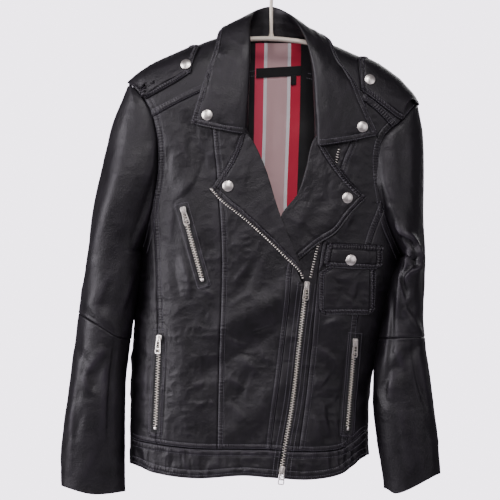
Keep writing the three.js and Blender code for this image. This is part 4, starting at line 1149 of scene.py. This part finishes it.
def stitchEdge(key, grid, normals, edge, distance, first=0.0, last=1.0, lift=0.2):
    # a row of stitches at a distance from one edge of a grid
    runs = edgeRuns(grid)[edge]
    if edge in ("top", "bottom"):
        runs, grid, normals = runs.T, grid.swapaxes(0, 1), normals.swapaxes(0, 1)
    order = slice(None) if edge in ("left", "top") else slice(None, None, -1)
    places, ups = [], []
    for i in range(int(first * (len(grid) - 1)), int(last * (len(grid) - 1)) + 1):
        values = runs[i][order]
        if values[-1] < distance:
            continue
        for found, source in ((places, grid), (ups, normals)):
            found.append([np.interp(distance, values, source[i][order][:, k]) for k in range(3)])
    if len(places) > 2:
        addStitches(key, np.array(places), np.array(ups), lift)


def outwardNormals(grid, towards):
    normals = gridNormals(grid)
    if np.sum(normals * np.asarray(towards, float)) < 0:
        normals = -normals
    return normals


base = collarGrid(220, 50)
runs = edgeRuns(base)
fallShare = np.linspace(0, 1, 50)[:, None] * np.ones((1, 220))
onFall = np.clip((fallShare - 0.42) / 0.1, 0, 1)
relief = pieceRelief(base, ["bottom", "left", "right"], 205, 0.75) * (0.25 + 0.75 * onFall)
u, v = runs["left"], runs["top"]
relief += 1.0 * (valueNoise(u / 30, v / 60, 221) - 0.5) + 0.35 * wrinkles(u * 0.8, v * 2.2, 26, 226)
standSeam = v - 0.62 * v[np.argmin(np.abs(fallShare[:, 0] - 0.333))]
relief -= 0.9 * bump(standSeam, 1.2) * (fallShare < 0.34)
collarNormals = gridNormals(base)
centreLine = np.array([8.0, -20.0, -150.0])
if np.sum(collarNormals[32:] * (base[32:] - centreLine)) < 0:
    collarNormals = -collarNormals
collarFace = base + collarNormals * relief[..., None]
collar = clothPiece("collar_leather", "collar", collarFace, "trim", relief)
facing = np.array([polygon.normal for polygon in list(collar.data.polygons)[32 * 219:34 * 219]])
if np.sum(facing * collarNormals[32:34, :219].reshape(-1, 3)) < 0:
    collar.data.flip_normals()
thicken(collar, 2.0)
for distance in (nearRow, farRow):
    stitchEdge("leather", collarFace, collarNormals, "bottom", distance, 0.01, 0.99)
    for edge in ("left", "right"):
        stitchEdge("leather", collarFace, collarNormals, edge, distance, 0.36, 0.97)
print("collar made")


def spread(line, count, smooth=True):
    # places at even distances along a line, smooth or with its corners kept
    dense = fine(line, 2.0) if smooth and len(line) > 2 else np.asarray(line, float)
    run = runOf(dense)
    at = np.linspace(0, run[-1], count)
    return readAt(at, run, dense)


def patch(left, right, top, bottom, columns, rows, smooth=True):
    # a patch between four lines: left and right run down, top and bottom run across
    leftSide, rightSide = (spread(line, rows, smooth)[:, None] for line in (left, right))
    topSide, lowSide = (spread(line, columns, smooth)[None] for line in (top, bottom))
    s = np.linspace(0, 1, columns)[None, :, None]
    t = np.linspace(0, 1, rows)[:, None, None]
    corners = ((1 - s) * (1 - t) * topSide[:, :1] + s * (1 - t) * topSide[:, -1:]
               + (1 - s) * t * lowSide[:, :1] + s * t * lowSide[:, -1:])
    return (1 - s) * leftSide + s * rightSide + (1 - t) * topSide + t * lowSide - corners


def frontForm(x, z):
    angle = frontAngle(x, z)
    return bodyRing(angle, z), bodyNormal(angle, z)


def flatRelief(flatGrid, edges, seed, rough, creases, snap, puff=0.6):
    # the relief of a flat piece, calm beneath its snap
    x, z = flatGrid[..., 0], flatGrid[..., 1]
    relief = pieceRelief(flatGrid[..., [0, 1, 1]] * [1, 1, 0], edges, seed, rough, puff=puff)
    calm = 1 - bump(np.hypot(x - snapPlaces[snap][0], z - snapPlaces[snap][1]), 11) * 0.95
    return (relief + creaseHeight(creases, x, z)) * calm


def laidPiece(name, flatGrid, out, relief, stitched, roll=None, thick=2.0):
    # a piece that lies on the fronts: its face, its turned edge at a roll, its thickness and its stitches
    x, z = flatGrid[..., 0], flatGrid[..., 1]
    place, normal = frontForm(x, z)
    lift = out + relief
    face = place + normal * lift[..., None]
    whole, wholeRelief = face, relief
    if roll is not None:
        edge, inward = (0, 1) if roll == "left" else (-1, -2)
        into = unit(place[:, edge] - place[:, inward])
        up = normal[:, edge]
        radius = (lift[:, edge] + 0.6) / 2
        centre = face[:, edge] - up * radius[:, None]
        turns = []
        for degrees in (22, 45, 68, 90, 115, 145, 180):
            turn = math.radians(degrees)
            turns.append(centre + (up * math.cos(turn) + into * math.sin(turn)) * radius[:, None])
        turns.append(centre - (up * radius[:, None] + into * 5))
        turned = np.stack(turns, axis=1)
        flatEnd = np.repeat(relief[:, [edge]], len(turns), axis=1)
        if roll == "left":
            whole = np.concatenate([turned[:, ::-1], face], axis=1)
            wholeRelief = np.concatenate([flatEnd, relief], axis=1)
        else:
            whole = np.concatenate([face, turned], axis=1)
            wholeRelief = np.concatenate([relief, flatEnd], axis=1)
    piece = clothPiece(name + "_leather", name, whole, "trim", wholeRelief)
    thicken(piece, thick)
    ups = outwardNormals(face, (0, -1, 0))
    for edge, distance, first, last in stitched:
        stitchEdge("leather", face, ups, edge, distance, first, last)
    return face, ups


# The right lapel lies over the left one where they meet.
lapelRightFlat = patch(
    [(-44, -250), (-57, -284), (-74, -312), (-87, -331)],
    [(-38, -249), (-28, -262), (-10, -300), (10, -363), (27, -407), (39, -436), (47, -464)],
    [(-44, -250), (-38, -249)],
    [(-87, -331), (-70, -349), (-41, -372), (-2, -407), (21, -430), (40, -450), (47, -464)], 74, 98)
x, z = lapelRightFlat[..., 0], lapelRightFlat[..., 1]
signed, run = sideOf(fine(seams["rollRight"], 4.0), x, z)
away = np.abs(signed)
puff = 3.0 * np.exp(-away / 26) * np.clip((-z - 330) / 60, 0, 1) * np.clip((z + 472) / 20, 0, 1)
relief = flatRelief(lapelRightFlat, ["left", "bottom"], 301, 0.55, [
    (-30, -280, -44, -340, 9, 1.0, 3), (-20, -310, -10, -390, 12, 1.2, -4),
    (-60, -318, -44, -340, 6, 0.7, 2), (-20, -352, 12, -398, 8, -0.8, 4)], "lapel_right") + puff
lapelRightFace, lapelRightUps = laidPiece(
    "lapel_right", lapelRightFlat, 2.5, relief,
    [("left", nearRow, 0.06, 0.98), ("left", farRow, 0.12, 0.92), ("bottom", nearRow, 0.02, 0.97),
     ("bottom", farRow, 0.08, 0.93)], roll="right")

lapelLeftFlat = patch(
    [(67, -254), (59, -271), (52, -302), (41, -336), (16, -372), (21, -392), (28, -412), (39, -435)],
    [(72, -263), (91, -292), (112, -320), (136, -345)],
    [(67, -254), (72, -263)],
    [(39, -435), (67, -412), (92, -396), (115, -367), (136, -345)], 74, 98)
relief = flatRelief(lapelLeftFlat, ["right", "bottom"], 341, 0.8, [
    (58, -290, 50, -350, 9, 1.6, 4), (72, -290, 74, -350, 7, 1.4, -3), (82, -310, 84, -362, 6, -1.3, 3),
    (60, -350, 34, -400, 10, 1.6, 4), (92, -345, 70, -396, 9, 1.3, -4), (98, -325, 112, -352, 4, 0.9, -2),
    (44, -380, 60, -408, 7, -1.1, 3), (120, -345, 100, -362, 4, 1.0, 2)], "lapel_left")
laidPiece(
    "lapel_left", lapelLeftFlat, 4.0, relief,
    [("right", nearRow, 0.04, 0.98), ("right", farRow, 0.1, 0.93), ("bottom", nearRow, 0.06, 0.98),
     ("bottom", farRow, 0.1, 0.92)], roll="left")

# The patch of the left front's pocket and its flap.
pocketFlat = patch(
    [(83, -424), (80, -446), (68.5, -453), (67.5, -480), (68.2, -503), (72.5, -511)],
    [(150, -424), (151, -453), (150.5, -480), (149.5, -503), (146, -511)],
    [(83, -424), (150, -424)],
    [(72.5, -511), (80, -514.3), (110, -514.5), (138, -514.3), (146, -511)], 78, 82, False)
relief = flatRelief(pocketFlat, ["left", "right", "bottom"], 381, 1.15, [
    (92, -462, 118, -456, 5, 1.1, 3), (120, -460, 112, -498, 6, 1.4, -3), (96, -470, 90, -500, 7, 1.2, 3),
    (132, -458, 128, -500, 4, -1.1, 2), (84, -478, 112, -492, 6, -0.9, -3),
    (136, -462, 126, -476, 3, 0.9, 1), (102, -484, 124, -504, 5, 0.9, 2)], "flap", 0.9)
laidPiece("pocket_patch", pocketFlat, 1.5, relief,
          [("left", nearRow, 0.0, 0.98), ("left", farRow, 0.0, 0.92), ("right", nearRow, 0.0, 0.98),
           ("right", farRow, 0.0, 0.92), ("bottom", nearRow, 0.02, 0.98), ("bottom", farRow, 0.1, 0.9)],
          thick=1.2)

flapFlat = patch(
    [(81, -411), (76.5, -433), (77, -438.5), (80, -443)],
    [(160, -414), (159.4, -434), (158, -441), (154, -445.5)],
    [(81, -411), (120, -412), (160, -414)],
    [(80, -443), (86, -446), (115, -448), (147, -448.6), (154, -445.5)], 100, 46, False)
relief = flatRelief(flapFlat, ["left", "right", "bottom", "top"], 401, 0.9, [
    (96, -418, 92, -440, 5, 1.0, 2), (134, -420, 138, -440, 6, 1.0, -2)], "flap")
laidPiece("pocket_flap", flapFlat, 4.0, relief,
          [("left", nearRow, 0.1, 0.96), ("right", nearRow, 0.1, 0.96), ("bottom", nearRow, 0.03, 0.97),
           ("bottom", farRow, 0.08, 0.92), ("top", 2.0, 0.04, 0.96)])
print("lapels and pocket made")


# The shoulder straps: over the top of the shoulder, from a line on the front to a little behind it.
straps = {
    "epaulette_right": {"front": [(-184, -201), (-178, -198), (-145, -180), (-117, -163)],
                        "armhole": "armholeRight", "inner": [-117, -104, -113], "seed": 431},
    "epaulette_left": {"front": [(190, -231), (184, -229), (158, -209), (130, -188)],
                       "armhole": "armholeLeft", "inner": [130, 126, 134], "seed": 451},
}


def shoulderHeight(x, y):
    low, high = np.full(x.shape, -330.0), np.full(x.shape, -97.0)
    for _ in range(30):
        z = (low + high) / 2
        outside = (np.abs(shareAcross(x, z)) ** bodyBulge + np.abs(y / bodyDepth(z, y < 0)) ** bodyBulge) > 1
        high, low = np.where(outside, z, high), np.where(outside, low, z)
    return (low + high) / 2


def strapGrid(size, columns=76, rows=50):
    frontLine = evenly(sorted(size["front"]), 1.0)[0]
    frontY = bodyRing(frontAngle(frontLine[:, 0], frontLine[:, 1]), frontLine[:, 1])[:, 1]
    v = np.linspace(0, 1, 241)
    armhole = lines[size["armhole"]][:60]
    seamY = np.abs(bodyRing(frontAngle(armhole[:, 0], armhole[:, 1]), armhole[:, 1])[:, 1])
    order = np.argsort(seamY)
    outwards = frontLine[:, 0] * np.sign(frontLine[0, 0])
    outerY = np.interp(abs(size["front"][0][0]), np.sort(outwards), frontY[np.argsort(outwards)])
    outer = np.interp(np.abs(outerY + (12 - outerY) * v), seamY[order], armhole[order, 0])
    inner = np.interp(v, [0, 0.42, 0.75], size["inner"])
    s = np.linspace(0, 1, columns)
    x = outer[:, None] * (1 - s) + inner[:, None] * s
    startY = np.interp(x, frontLine[:, 0], frontY)
    y = startY + (12 - startY) * v[:, None]
    z = shoulderHeight(x, y)
    fall = (z[:, 24] - z[:, 15]) / (x[:, 24] - x[:, 15])
    # the outer end goes on as straight as the part beside it
    z[:, :15] = np.maximum(z, z[:, [15]] + fall[:, None] * (x - x[:, [15]]) - 8)[:, :15]
    grid = np.stack([x, y, z], axis=-1)
    even = np.empty((rows, columns, 3))
    for j in range(columns):
        run = runOf(grid[:, j])
        even[:, j] = readAt(np.linspace(0, run[-1], rows), run, grid[:, j])
    return even


for name, size in straps.items():
    form = strapGrid(size)
    ups = outwardNormals(form, (0, -0.4, 1))
    relief = pieceRelief(form, ["top", "bottom", "right"], size["seed"], 0.6)
    runs = edgeRuns(form)
    snapX, snapZ = snapPlaces[name]
    relief *= 1 - bump(np.hypot(form[..., 0] - snapX, form[..., 2] - snapZ), 11) * (form[..., 1] < 0) * 0.95
    relief += 1.2 * bump(runs["left"], 5)
    face = form + ups * (2.5 + relief)[..., None]
    side = name.split("_")[1]
    strap = clothPiece(name + "_leather", name, face, "trim", relief)
    thicken(strap, 2.0)
    for edge in ("top", "bottom"):
        stitchEdge("leather", face, ups, edge, nearRow, 0.02, 0.98)
        stitchEdge("leather", face, ups, edge, farRow, 0.02, 0.9)
    stitchEdge("leather", face, ups, "right", nearRow, 0.02, 0.98)
    stitchEdge("leather", face, ups, "right", farRow, 0.1, 0.9)
print("shoulder straps made")


# The lining of the back, with its woven stripes; each stripe leans a little towards the right lower down.
def liningGrid(columns=96, rows=108):
    s = np.linspace(0, 1, columns)[None, :] * np.ones((rows, 1))
    z = np.linspace(-117, -472, rows)[:, None] * np.ones((1, columns))
    x = 149 - (149 + 157) * s
    z = np.minimum(z, np.interp(x, neckBack[:, 0], neckBack[:, 1]) - 4 + 0 * z)
    angle = backAngle(x, z)
    relief = bodyRelief(angle, z)
    fold = creaseHeight([(4, -150, -2, -300, 7, 1.6, 5), (16, -130, 18, -220, 6, -1.2, 3),
                         (-14, -200, -6, -330, 8, 1.0, -3), (8, -250, 20, -345, 6, 1.2, 4),
                         (50, -160, 60, -380, 12, 2.0, 5), (90, -200, 80, -400, 14, 2.4, 5),
                         (-60, -180, -70, -400, 14, 2.2, -5), (22, -120, 12, -150, 4, 1.0, 1)], x, z)
    fold += 0.35 * wrinkles(x, z * 0.6, 16, 501)
    lift = -3.2 + np.minimum(relief, 0.4) * 0.9 - 0.6 - np.abs(fold) * 0.9
    lean = np.interp(z, [-345, -249, -119], [6.0, 2.5, 0.0])
    stripe = np.clip((x + lean + 51) / 101, 0, 1)
    return onBody(angle, z, lift), stripe


liningPlace, liningStripe = liningGrid()
lining = gridPiece("lining_cloth", liningPlace, finishes["lining"], data={"stripe": liningStripe})
faceOut(lining, (0, 400, -300))
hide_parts("lining_back")
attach(lining, bodyName)


for name, node, left, right, top, low in (
        ("neck_label_cloth", "neck_label", -22, 45, (-154, -150), (-168, -164)),
        ("size_tab_cloth", "size_tab", 29, 37, (-164.5, -164), (-178, -177.5))):
    columns = 60 if "neck" in name else 14
    s, t = np.meshgrid(np.linspace(0, 1, columns), np.linspace(0, 1, 16))
    x = left + (right - left) * s
    z = (top[0] + (top[1] - top[0]) * s) * (1 - t) + (low[0] + (low[1] - low[0]) * s) * t
    ripple = 0.5 * valueNoise(x / 14, z / 20, 511)
    place = onBody(backAngle(x, z), z, -5.6 - (0.7 if "tab" in name else 0))
    place[..., 1] -= ripple
    patchPiece = gridPiece(name, place, finishes["label"])
    faceOut(patchPiece, (0, 400, -160))
    thicken(patchPiece, 0.7)
    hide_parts(node)
    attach(patchPiece, bodyName)
print("lining made")


# Zip teeth: short blocks with bevelled heads, in two rows that mesh.
def toothShape(across=3.7, along=1.7, high=1.8):
    outline = [(-0.5, 0.0), (-0.42, 0.55), (-0.2, 1.0), (0.2, 1.0), (0.42, 0.55), (0.5, 0.0)]
    points = [(a * along, -across / 2, h * high) for a, h in outline]
    points += [(a * along, across / 2, h * high * 0.92) for a, h in outline]
    count = len(outline)
    faces = [(k, k + 1, k + 1 + count, k + count) for k in range(count - 1)]
    faces += [tuple(range(count))[::-1], tuple(range(count, 2 * count))]
    return np.array(points), faces


def ride(piece, node=None, body=bodyName):
    if node:
        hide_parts(node)
    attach(piece, body)
    return piece


def railOf(line, out, smooth=True):
    # places, normals and runs along a line on the front, at a height over the body's form
    flat, run = evenly(fine(line, 3.0) if smooth and len(line) > 2 else np.array(line, float), 1.0)
    place, normal = frontForm(flat[:, 0], flat[:, 1])
    if np.ndim(out):
        out = np.interp(run, np.linspace(0, run[-1], len(out)), out)[:, None]
    place = place + normal * out
    run = runOf(place)
    return place, normal, run


def toothFrames(rail, start, end, pitch, offset, phase=0.0):
    place, normal, run = rail
    at = np.arange(start + phase * pitch, run[-1] - end, pitch)
    where = readAt(at, run, place)
    up = readAt(at, run, normal)
    along = (readAt(at + 0.6, run, place)
             - readAt(at - 0.6, run, place))
    along = unit(along)
    up = unit(up)
    aside = np.cross(up, along)
    return where + aside * offset, along, aside, up


zipTeeth = {
    "main_zip_chain": [(seams["zip"], -0.9, 2, 4, (1.35, -1.35))],
    "zip_half_left": [([(98, -272), (82, -342), (65, -422), (55, -464)], 0.2, 3, 4, (0.4,))],
    "chest_zip_chain": [(pocketZips["chest"], 0.2, 3, 5, (1.35, -1.35))],
    "hip_right_zip_chain": [(pocketZips["hip_right"], 0.2, 3, 5, (1.35, -1.35))],
    "hip_left_zip_chain": [(pocketZips["hip_left"], 0.2, 3, 5, (1.35, -1.35))],
}
pitch = 3.8
for node, rows in zipTeeth.items():
    frames = []
    for line, out, start, end, offsets in rows:
        rail = railOf(line, out)
        for k, offset in enumerate(offsets):
            frames.append(toothFrames(rail, start, end, pitch, offset, 0.5 * k))
    ride(scatter(node + "_teeth", toothShape(), frames, finishes["teeth"]), node)
# The right half follows the lower edge of the lapel, just outside it.
lowEdge = lapelRightFace[-1] - lapelRightUps[-1] * 1.0
down = lapelRightFace[-1] - lapelRightFace[-2]
down = unit(down)
edgeLine = lowEdge + down * 1.2
run = runOf(edgeLine)
halfRail = (edgeLine, lapelRightUps[-1], run)
ride(scatter("zip_half_right_teeth", toothShape(3.6), [toothFrames(halfRail, 4, 3, pitch, 0.0)],
             finishes["teeth"]), "zip_half_right")


# The woven tape that shows round the teeth of the pocket zips.
for name, line in pocketZips.items():
    (x0, z0), (x1, z1) = line
    length = math.hypot(x1 - x0, z1 - z0)
    ux, uz = (x1 - x0) / length, (z1 - z0) / length
    along, aside = np.meshgrid(np.linspace(-4, length + 3, 90), np.linspace(-5.6, 5.6, 9), indexing="ij")
    x, z = x0 + ux * along - uz * aside, z0 + uz * along + ux * aside
    angle = frontAngle(x, z)
    place = onBody(angle, z, np.maximum(bodyRelief(angle, z) + 0.25, -0.2))
    tape = gridPiece(name + "_zip_tape_cloth", place, finishes["tape"])
    faceOut(tape, (0, 0, -450))
    ride(tape, None)


# The tape behind the main zip ends at the hem.
rail = railOf([point for point in fine(seams["zip"], 3.0) if point[1] > -747], -2.2)
back = toothFrames(rail, 0.2, 0.2, 2.0, 0.0)
strip = np.stack([back[0] + back[2] * offset for offset in np.linspace(-11, 11, 9)], axis=1)
tape = gridPiece("main_zip_tape_cloth", strip, finishes["tape"])
faceOut(tape, (0, 0, -600))
ride(tape, "main_zip_tape")

# The woven tape beside the open half of the main zip, in the left front's notch.
rail = railOf([(98, -272), (82, -342), (65, -422)], 0.7)
aside = toothFrames(rail, 0.2, 0.2, 1.4, 0.0)
strip = np.stack([aside[0] + aside[2] * offset for offset in np.linspace(-1.5, 12, 8)], axis=1)
if strip[:, -1, 0].mean() > strip[:, 0, 0].mean():
    strip = np.stack([aside[0] - aside[2] * offset for offset in np.linspace(-1.5, 12, 8)], axis=1)
halfTape = gridPiece("zip_half_left_tape_cloth", strip, finishes["tape"])
faceOut(halfTape, (0, 0, -350))
ride(halfTape, None)


def blockShape(along, across, high, corner=0.3):
    # a block with its upper corners cut
    a, b, c = along / 2, across / 2, corner
    low = [(-a, -b, 0), (a, -b, 0), (a, b, 0), (-a, b, 0)]
    mid = [(x, y, high - c) for x, y, _ in low]
    top = [(x * (1 - c / a), y * (1 - c / b), high) for x, y, _ in low]
    faces = [(3, 2, 1, 0), (8, 9, 10, 11)]
    for start in (0, 4):
        faces += [(start + k, start + (k + 1) % 4, start + 4 + (k + 1) % 4, start + 4 + k) for k in range(4)]
    return np.array(low + mid + top, float), faces


stops = [toothFrames(halfRail, 1.2, run[-1] - 1.8, 9.0, 0.0)]
for name, line in pocketZips.items():
    rail = railOf(line, 0.2)
    for side in (-1.4, 1.4):
        stops.append(toothFrames(rail, 0.8, rail[2][-1] - 1.4, 9.0, side))
    stops.append(toothFrames(rail, rail[2][-1] - 3, 0.5, 9.0, 0.0))
ride(scatter("zip_stops", blockShape(4.2, 4.6, 2.0), stops, finishes["metal"]))
print("zip teeth made")


# Sliders and pulls take the form of the solids with their edges rounded.
def polished(node, name, width, body=bodyName):
    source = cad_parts[node]
    mesh = source.data.copy()
    mesh.transform(source.matrix_world)
    mesh.materials.clear()
    mesh.materials.append(finishes["metal"])
    mesh.polygons.foreach_set("use_smooth", [True] * len(mesh.polygons))
    piece = bpy.data.objects.new(name, mesh)
    bpy.context.scene.collection.objects.link(piece)
    weld = piece.modifiers.new("weld", "WELD")
    weld.merge_threshold = 0.00002
    bevel = piece.modifiers.new("edge", "BEVEL")
    bevel.width = width * mm
    bevel.segments = 3
    bevel.limit_method = "ANGLE"
    bevel.angle_limit = math.radians(32)
    even = piece.modifiers.new("even", "WEIGHTED_NORMAL")
    even.keep_sharp = False
    return ride(piece, node, body)


for name in sliderPlaces:
    polished("slider_" + name, f"slider_{name}_metal", 0.45)
    polished("pull_" + name, f"pull_{name}_metal", 0.3, body=f"pull_{name}_body")


# Snap caps: a shallow dome with a rolled edge, turned about the axis of its solid.
capProfile = [(0.0, 3.25), (2.0, 3.15), (4.0, 2.85), (5.6, 2.4), (6.7, 1.9), (7.4, 1.75), (7.85, 1.35),
              (8.05, 0.7), (7.9, 0.1), (7.5, -0.6)]
capSides = 40


def snapFrame(node):
    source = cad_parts[node]
    points = np.array([list(source.matrix_world @ vertex.co) for vertex in source.data.vertices]) / mm
    middle = points.mean(axis=0)
    _, _, axes = np.linalg.svd(points - middle)
    axis = axes[2] * (-1 if axes[2][1] > 0 else 1)
    reach = (points - middle) @ axis
    base = middle + axis * reach.min()
    flatPart = points[reach < reach.min() + 0.3]
    return flatPart.mean(axis=0) * 0.5 + base * 0.5, axis


for name in snapPlaces:
    base, axis = snapFrame("snap_" + name)
    aside = np.cross(axis, (0, 0, 1))
    aside /= np.linalg.norm(aside)
    above = np.cross(aside, axis)
    profile = fine(capProfile, 0.8)
    turns = np.linspace(0, 2 * np.pi, capSides, False)
    rings = [base + axis * h + r * (aside * math.cos(t) + above * math.sin(t))
             for r, h in profile for t in turns]
    grid = np.array(rings).reshape(len(profile), capSides, 3)
    cap = gridPiece(f"snap_{name}_metal", grid, finishes["metal"], True)
    faceOut(cap, base)
    ride(cap, "snap_" + name)
print("metal made")


# The hanger: a bar of oval section and a round wire with a fillet where it leaves the bar.
def tube(name, middle, across, deep, finish, node, sides=28):
    middle = np.asarray(middle, float)
    along = np.gradient(middle, axis=0)
    along = unit(along)
    front = np.array([0.0, 1.0, 0.0]) * np.ones((len(middle), 1))
    above = np.cross(along, front)
    turns = np.linspace(0, 2 * np.pi, sides, False)
    grid = (middle[:, None] + above[:, None] * (across[:, None] * np.cos(turns))[..., None]
            + front[:, None] * (deep[:, None] * np.sin(turns))[..., None])
    piece = gridPiece(name, grid, finishes[finish], True)
    mesh = piece.data
    totalSign = sum(float(np.dot(np.array(p.normal), np.array(p.center) / mm - middle[p.index // sides]))
                    for p in list(mesh.polygons)[sides * 4:sides * (len(middle) - 5):37])
    if totalSign < 0:
        mesh.flip_normals()
    ride(piece, node)
    return piece


barRows = [(-178, -166.7), (-125, -139.7), (-75, -117.7), (-30, -112.7), (0, -112.2), (30, -114.7),
           (55, -118.7), (100, -136.7), (150, -160.7), (182, -182.7)]
barLine, barRun = evenly(fine(barRows, 3.0), 2.0)
endFade = np.clip(np.minimum(barRun, barRun[-1] - barRun) / 5, 0, 1)
barRound = np.sqrt(np.maximum(1 - (1 - endFade) ** 2, 1e-4))
tube("hanger_bar_enamel", np.stack([barLine[:, 0], 0 * barLine[:, 0], barLine[:, 1]], 1), 3.5 * barRound,
     5.0 * barRound, "hanger", "hanger_bar")
hookWire, hookRadius, stemTop = 2.5, 21.0, -62.0
arc = [math.radians(a) for a in np.linspace(-62, 190, 90)]
hookLine = [(0, 0, z) for z in np.linspace(-110.5, stemTop, 40)]
hookLine += list(map(tuple, curve([(0, 0, stemTop), (0.5, 0, -54), (3.5, 0, -44),
                                   (hookRadius * math.cos(arc[0]), 0,
                                    hookWire - hookRadius + hookRadius * math.sin(arc[0]))],
                                  np.linspace(0.02, 0.98, 24))))
hookLine += [(hookRadius * math.cos(a), 0, hookWire - hookRadius + hookRadius * math.sin(a)) for a in arc]
hookLine, hookRun = evenly(hookLine, 0.8)
flare = 3.2 * np.exp(-hookRun / 3.0)
tip = np.sqrt(np.maximum(1 - (1 - np.clip((hookRun[-1] - hookRun) / 2.5, 0, 1)) ** 2, 1e-4))
tube("hanger_hook_enamel", hookLine, (hookWire + flare) * tip, (hookWire + flare * 0.4) * tip, "hanger",
     "hanger_hook")
print("hanger made")


# Rows of stitches along the seams of the fronts and the back.
def seamStitches(name, side, distance, back=False):
    flat = evenly(fine(seams[name], 3.0), 1.0)[0]
    along = np.gradient(flat, axis=0)
    along = unit(along)
    flat = flat + np.stack([-along[:, 1], along[:, 0]], 1) * side * distance
    x, z = flat[:, 0], flat[:, 1]
    right, left = bodyEdges(z)
    keep = (x > right + 4) & (x < left - 4)
    if name == "zip":
        keep &= z > heightAt("hemFront", x) + 3
    elif "waist" not in name and "hem" not in name:
        keep &= z > heightAt("waistBack" if back else "waistFront", x) + 2
    if not back:
        keep &= covered(x, z) < 0.5
    angle = frontAngle(x, z)
    if back:
        angle = -angle
    for part in np.split(np.arange(len(x)), np.nonzero(~keep)[0]):
        part = part[keep[part]] if len(part) else part
        if len(part) > 6:
            place, normal = bodySurface(angle[part], z[part])
            addStitches("leather", place, normal, 0.12)


bandInset = 0.4
for bands in (frontBands, backBands):
    for name, side, start, wide in bands:
        for distance in (start + bandInset, start + wide - bandInset):
            seamStitches(name, side, distance, bands is backBands)
for side in (-1, 1):
    for distance in (6.5, 12.5):
        seamStitches("zip", side, distance)
for name, line in pocketZips.items():
    (x0, z0), (x1, z1) = line
    length = math.hypot(x1 - x0, z1 - z0)
    ux, uz = (x1 - x0) / length, (z1 - z0) / length
    corners = []
    for along, aside in ((-9, -9.5), (-9, 9.5), (length + 7, 9.5), (length + 7, -9.5), (-9, -9.5)):
        corners.append((x0 + ux * along - uz * aside, z0 + uz * along + ux * aside))
    for start, end in zip(corners[:-1], corners[1:]):
        flat = evenly([start, end], 1.0)[0]
        place, normal = bodySurface(frontAngle(flat[:, 0], flat[:, 1]), flat[:, 1])
        addStitches("leather", place, normal, 0.12)
for key, frames in stitchSets.items():
    threads = scatter("stitches_" + key, stitchShape(), frames, finishes["thread"])
    ride(threads, None)
print("stitches made")


# Camera, light and ground.
def makeCamera():
    camera = bpy.data.objects.new("camera", bpy.data.cameras.new("camera"))
    bpy.context.scene.collection.objects.link(camera)
    away, sensor = 9.0, 36
    # the picture is 725 mm wide where the fronts lie, 55 mm nearer than the hook
    pictureWidth, frontsDepth = 0.725, 0.055
    camera.location = (-0.031, -away, -0.4205)
    camera.rotation_euler = (math.radians(90), 0, 0)
    camera.data.sensor_width = sensor
    camera.data.lens = sensor * (away - frontsDepth) / pictureWidth
    camera.data.clip_end = 60
    bpy.context.scene.camera = camera


def areaLight(name, place, target, size, power, colour):
    light = bpy.data.lights.new(name, "AREA")
    light.size = size
    light.energy = power
    light.color = colour
    lamp = bpy.data.objects.new(name, light)
    lamp.location = place
    lamp.rotation_euler = (Vector(target) - Vector(place)).to_track_quat("-Z", "Y").to_euler()
    bpy.context.scene.collection.objects.link(lamp)


def makeStage():
    world = bpy.data.worlds.new("studio")
    bpy.context.scene.world = world
    world.use_nodes = True
    # the wall behind is bright to the eye and lights the jacket only softly
    tree = world.node_tree
    background = tree.nodes["Background"]
    background.inputs["Color"].default_value = linear("ece4f1")
    path = tree.nodes.new("ShaderNodeLightPath")
    seen = tree.nodes.new("ShaderNodeMapRange")
    castStrength, seenStrength = 0.14, 4.6
    seen.inputs["To Min"].default_value = castStrength
    seen.inputs["To Max"].default_value = seenStrength
    tree.links.new(path.outputs["Is Camera Ray"], seen.inputs["Value"])
    tree.links.new(seen.outputs["Result"], background.inputs["Strength"])
    floorRadius, floorHeight, floorSides = 1500, -1500, 64
    points = [(floorRadius * math.cos(a), floorRadius * math.sin(a), floorHeight)
              for a in np.linspace(0, 2 * np.pi, floorSides, False)]
    floorMaterial = bpy.data.materials.new("pale_floor")
    floorMaterial.use_nodes = True
    floorMaterial.node_tree.nodes["Principled BSDF"].inputs["Base Color"].default_value = linear("dedae2")
    floor = makeMesh("floor", points, [tuple(range(floorSides))], floorMaterial, False)
    # name, place, height of the target, size in metres, watts, colour
    lamps = [
        ("window", (-2.4, -0.9, 0.3), -0.4, 2.0, 92, (0.97, 0.92, 1.0)),
        ("front", (-0.5, -4.2, 1.6), -0.4, 2.2, 50, (1.0, 0.93, 1.0)),
        ("fill", (2.2, -1.8, 0.2), -0.4, 1.8, 15, (0.98, 0.92, 1.0)),
        ("top", (0.1, -3.0, 2.7), -0.3, 1.0, 68, (1.0, 0.96, 1.0)),
        ("back", (0.5, 2.2, 0.5), -0.4, 1.6, 26, (1.0, 1.0, 1.0)),
    ]
    for name, place, height, size, power, colour in lamps:
        areaLight(name, place, (0, 0, height), size, power, colour)


makeCamera()
makeStage()
print("stage set")


def finishCad():
    for name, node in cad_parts.items():
        if node.hide_render:
            continue
        key = "metal" if any(word in name for word in ("zip", "slider", "pull", "snap")) else "leather"
        if "tape" in name:
            key = "tape"
        if "hanger" in name:
            key = "hanger"
        for slot in node.material_slots:
            slot.link = "OBJECT"
            slot.material = finishes[key]


finishCad()
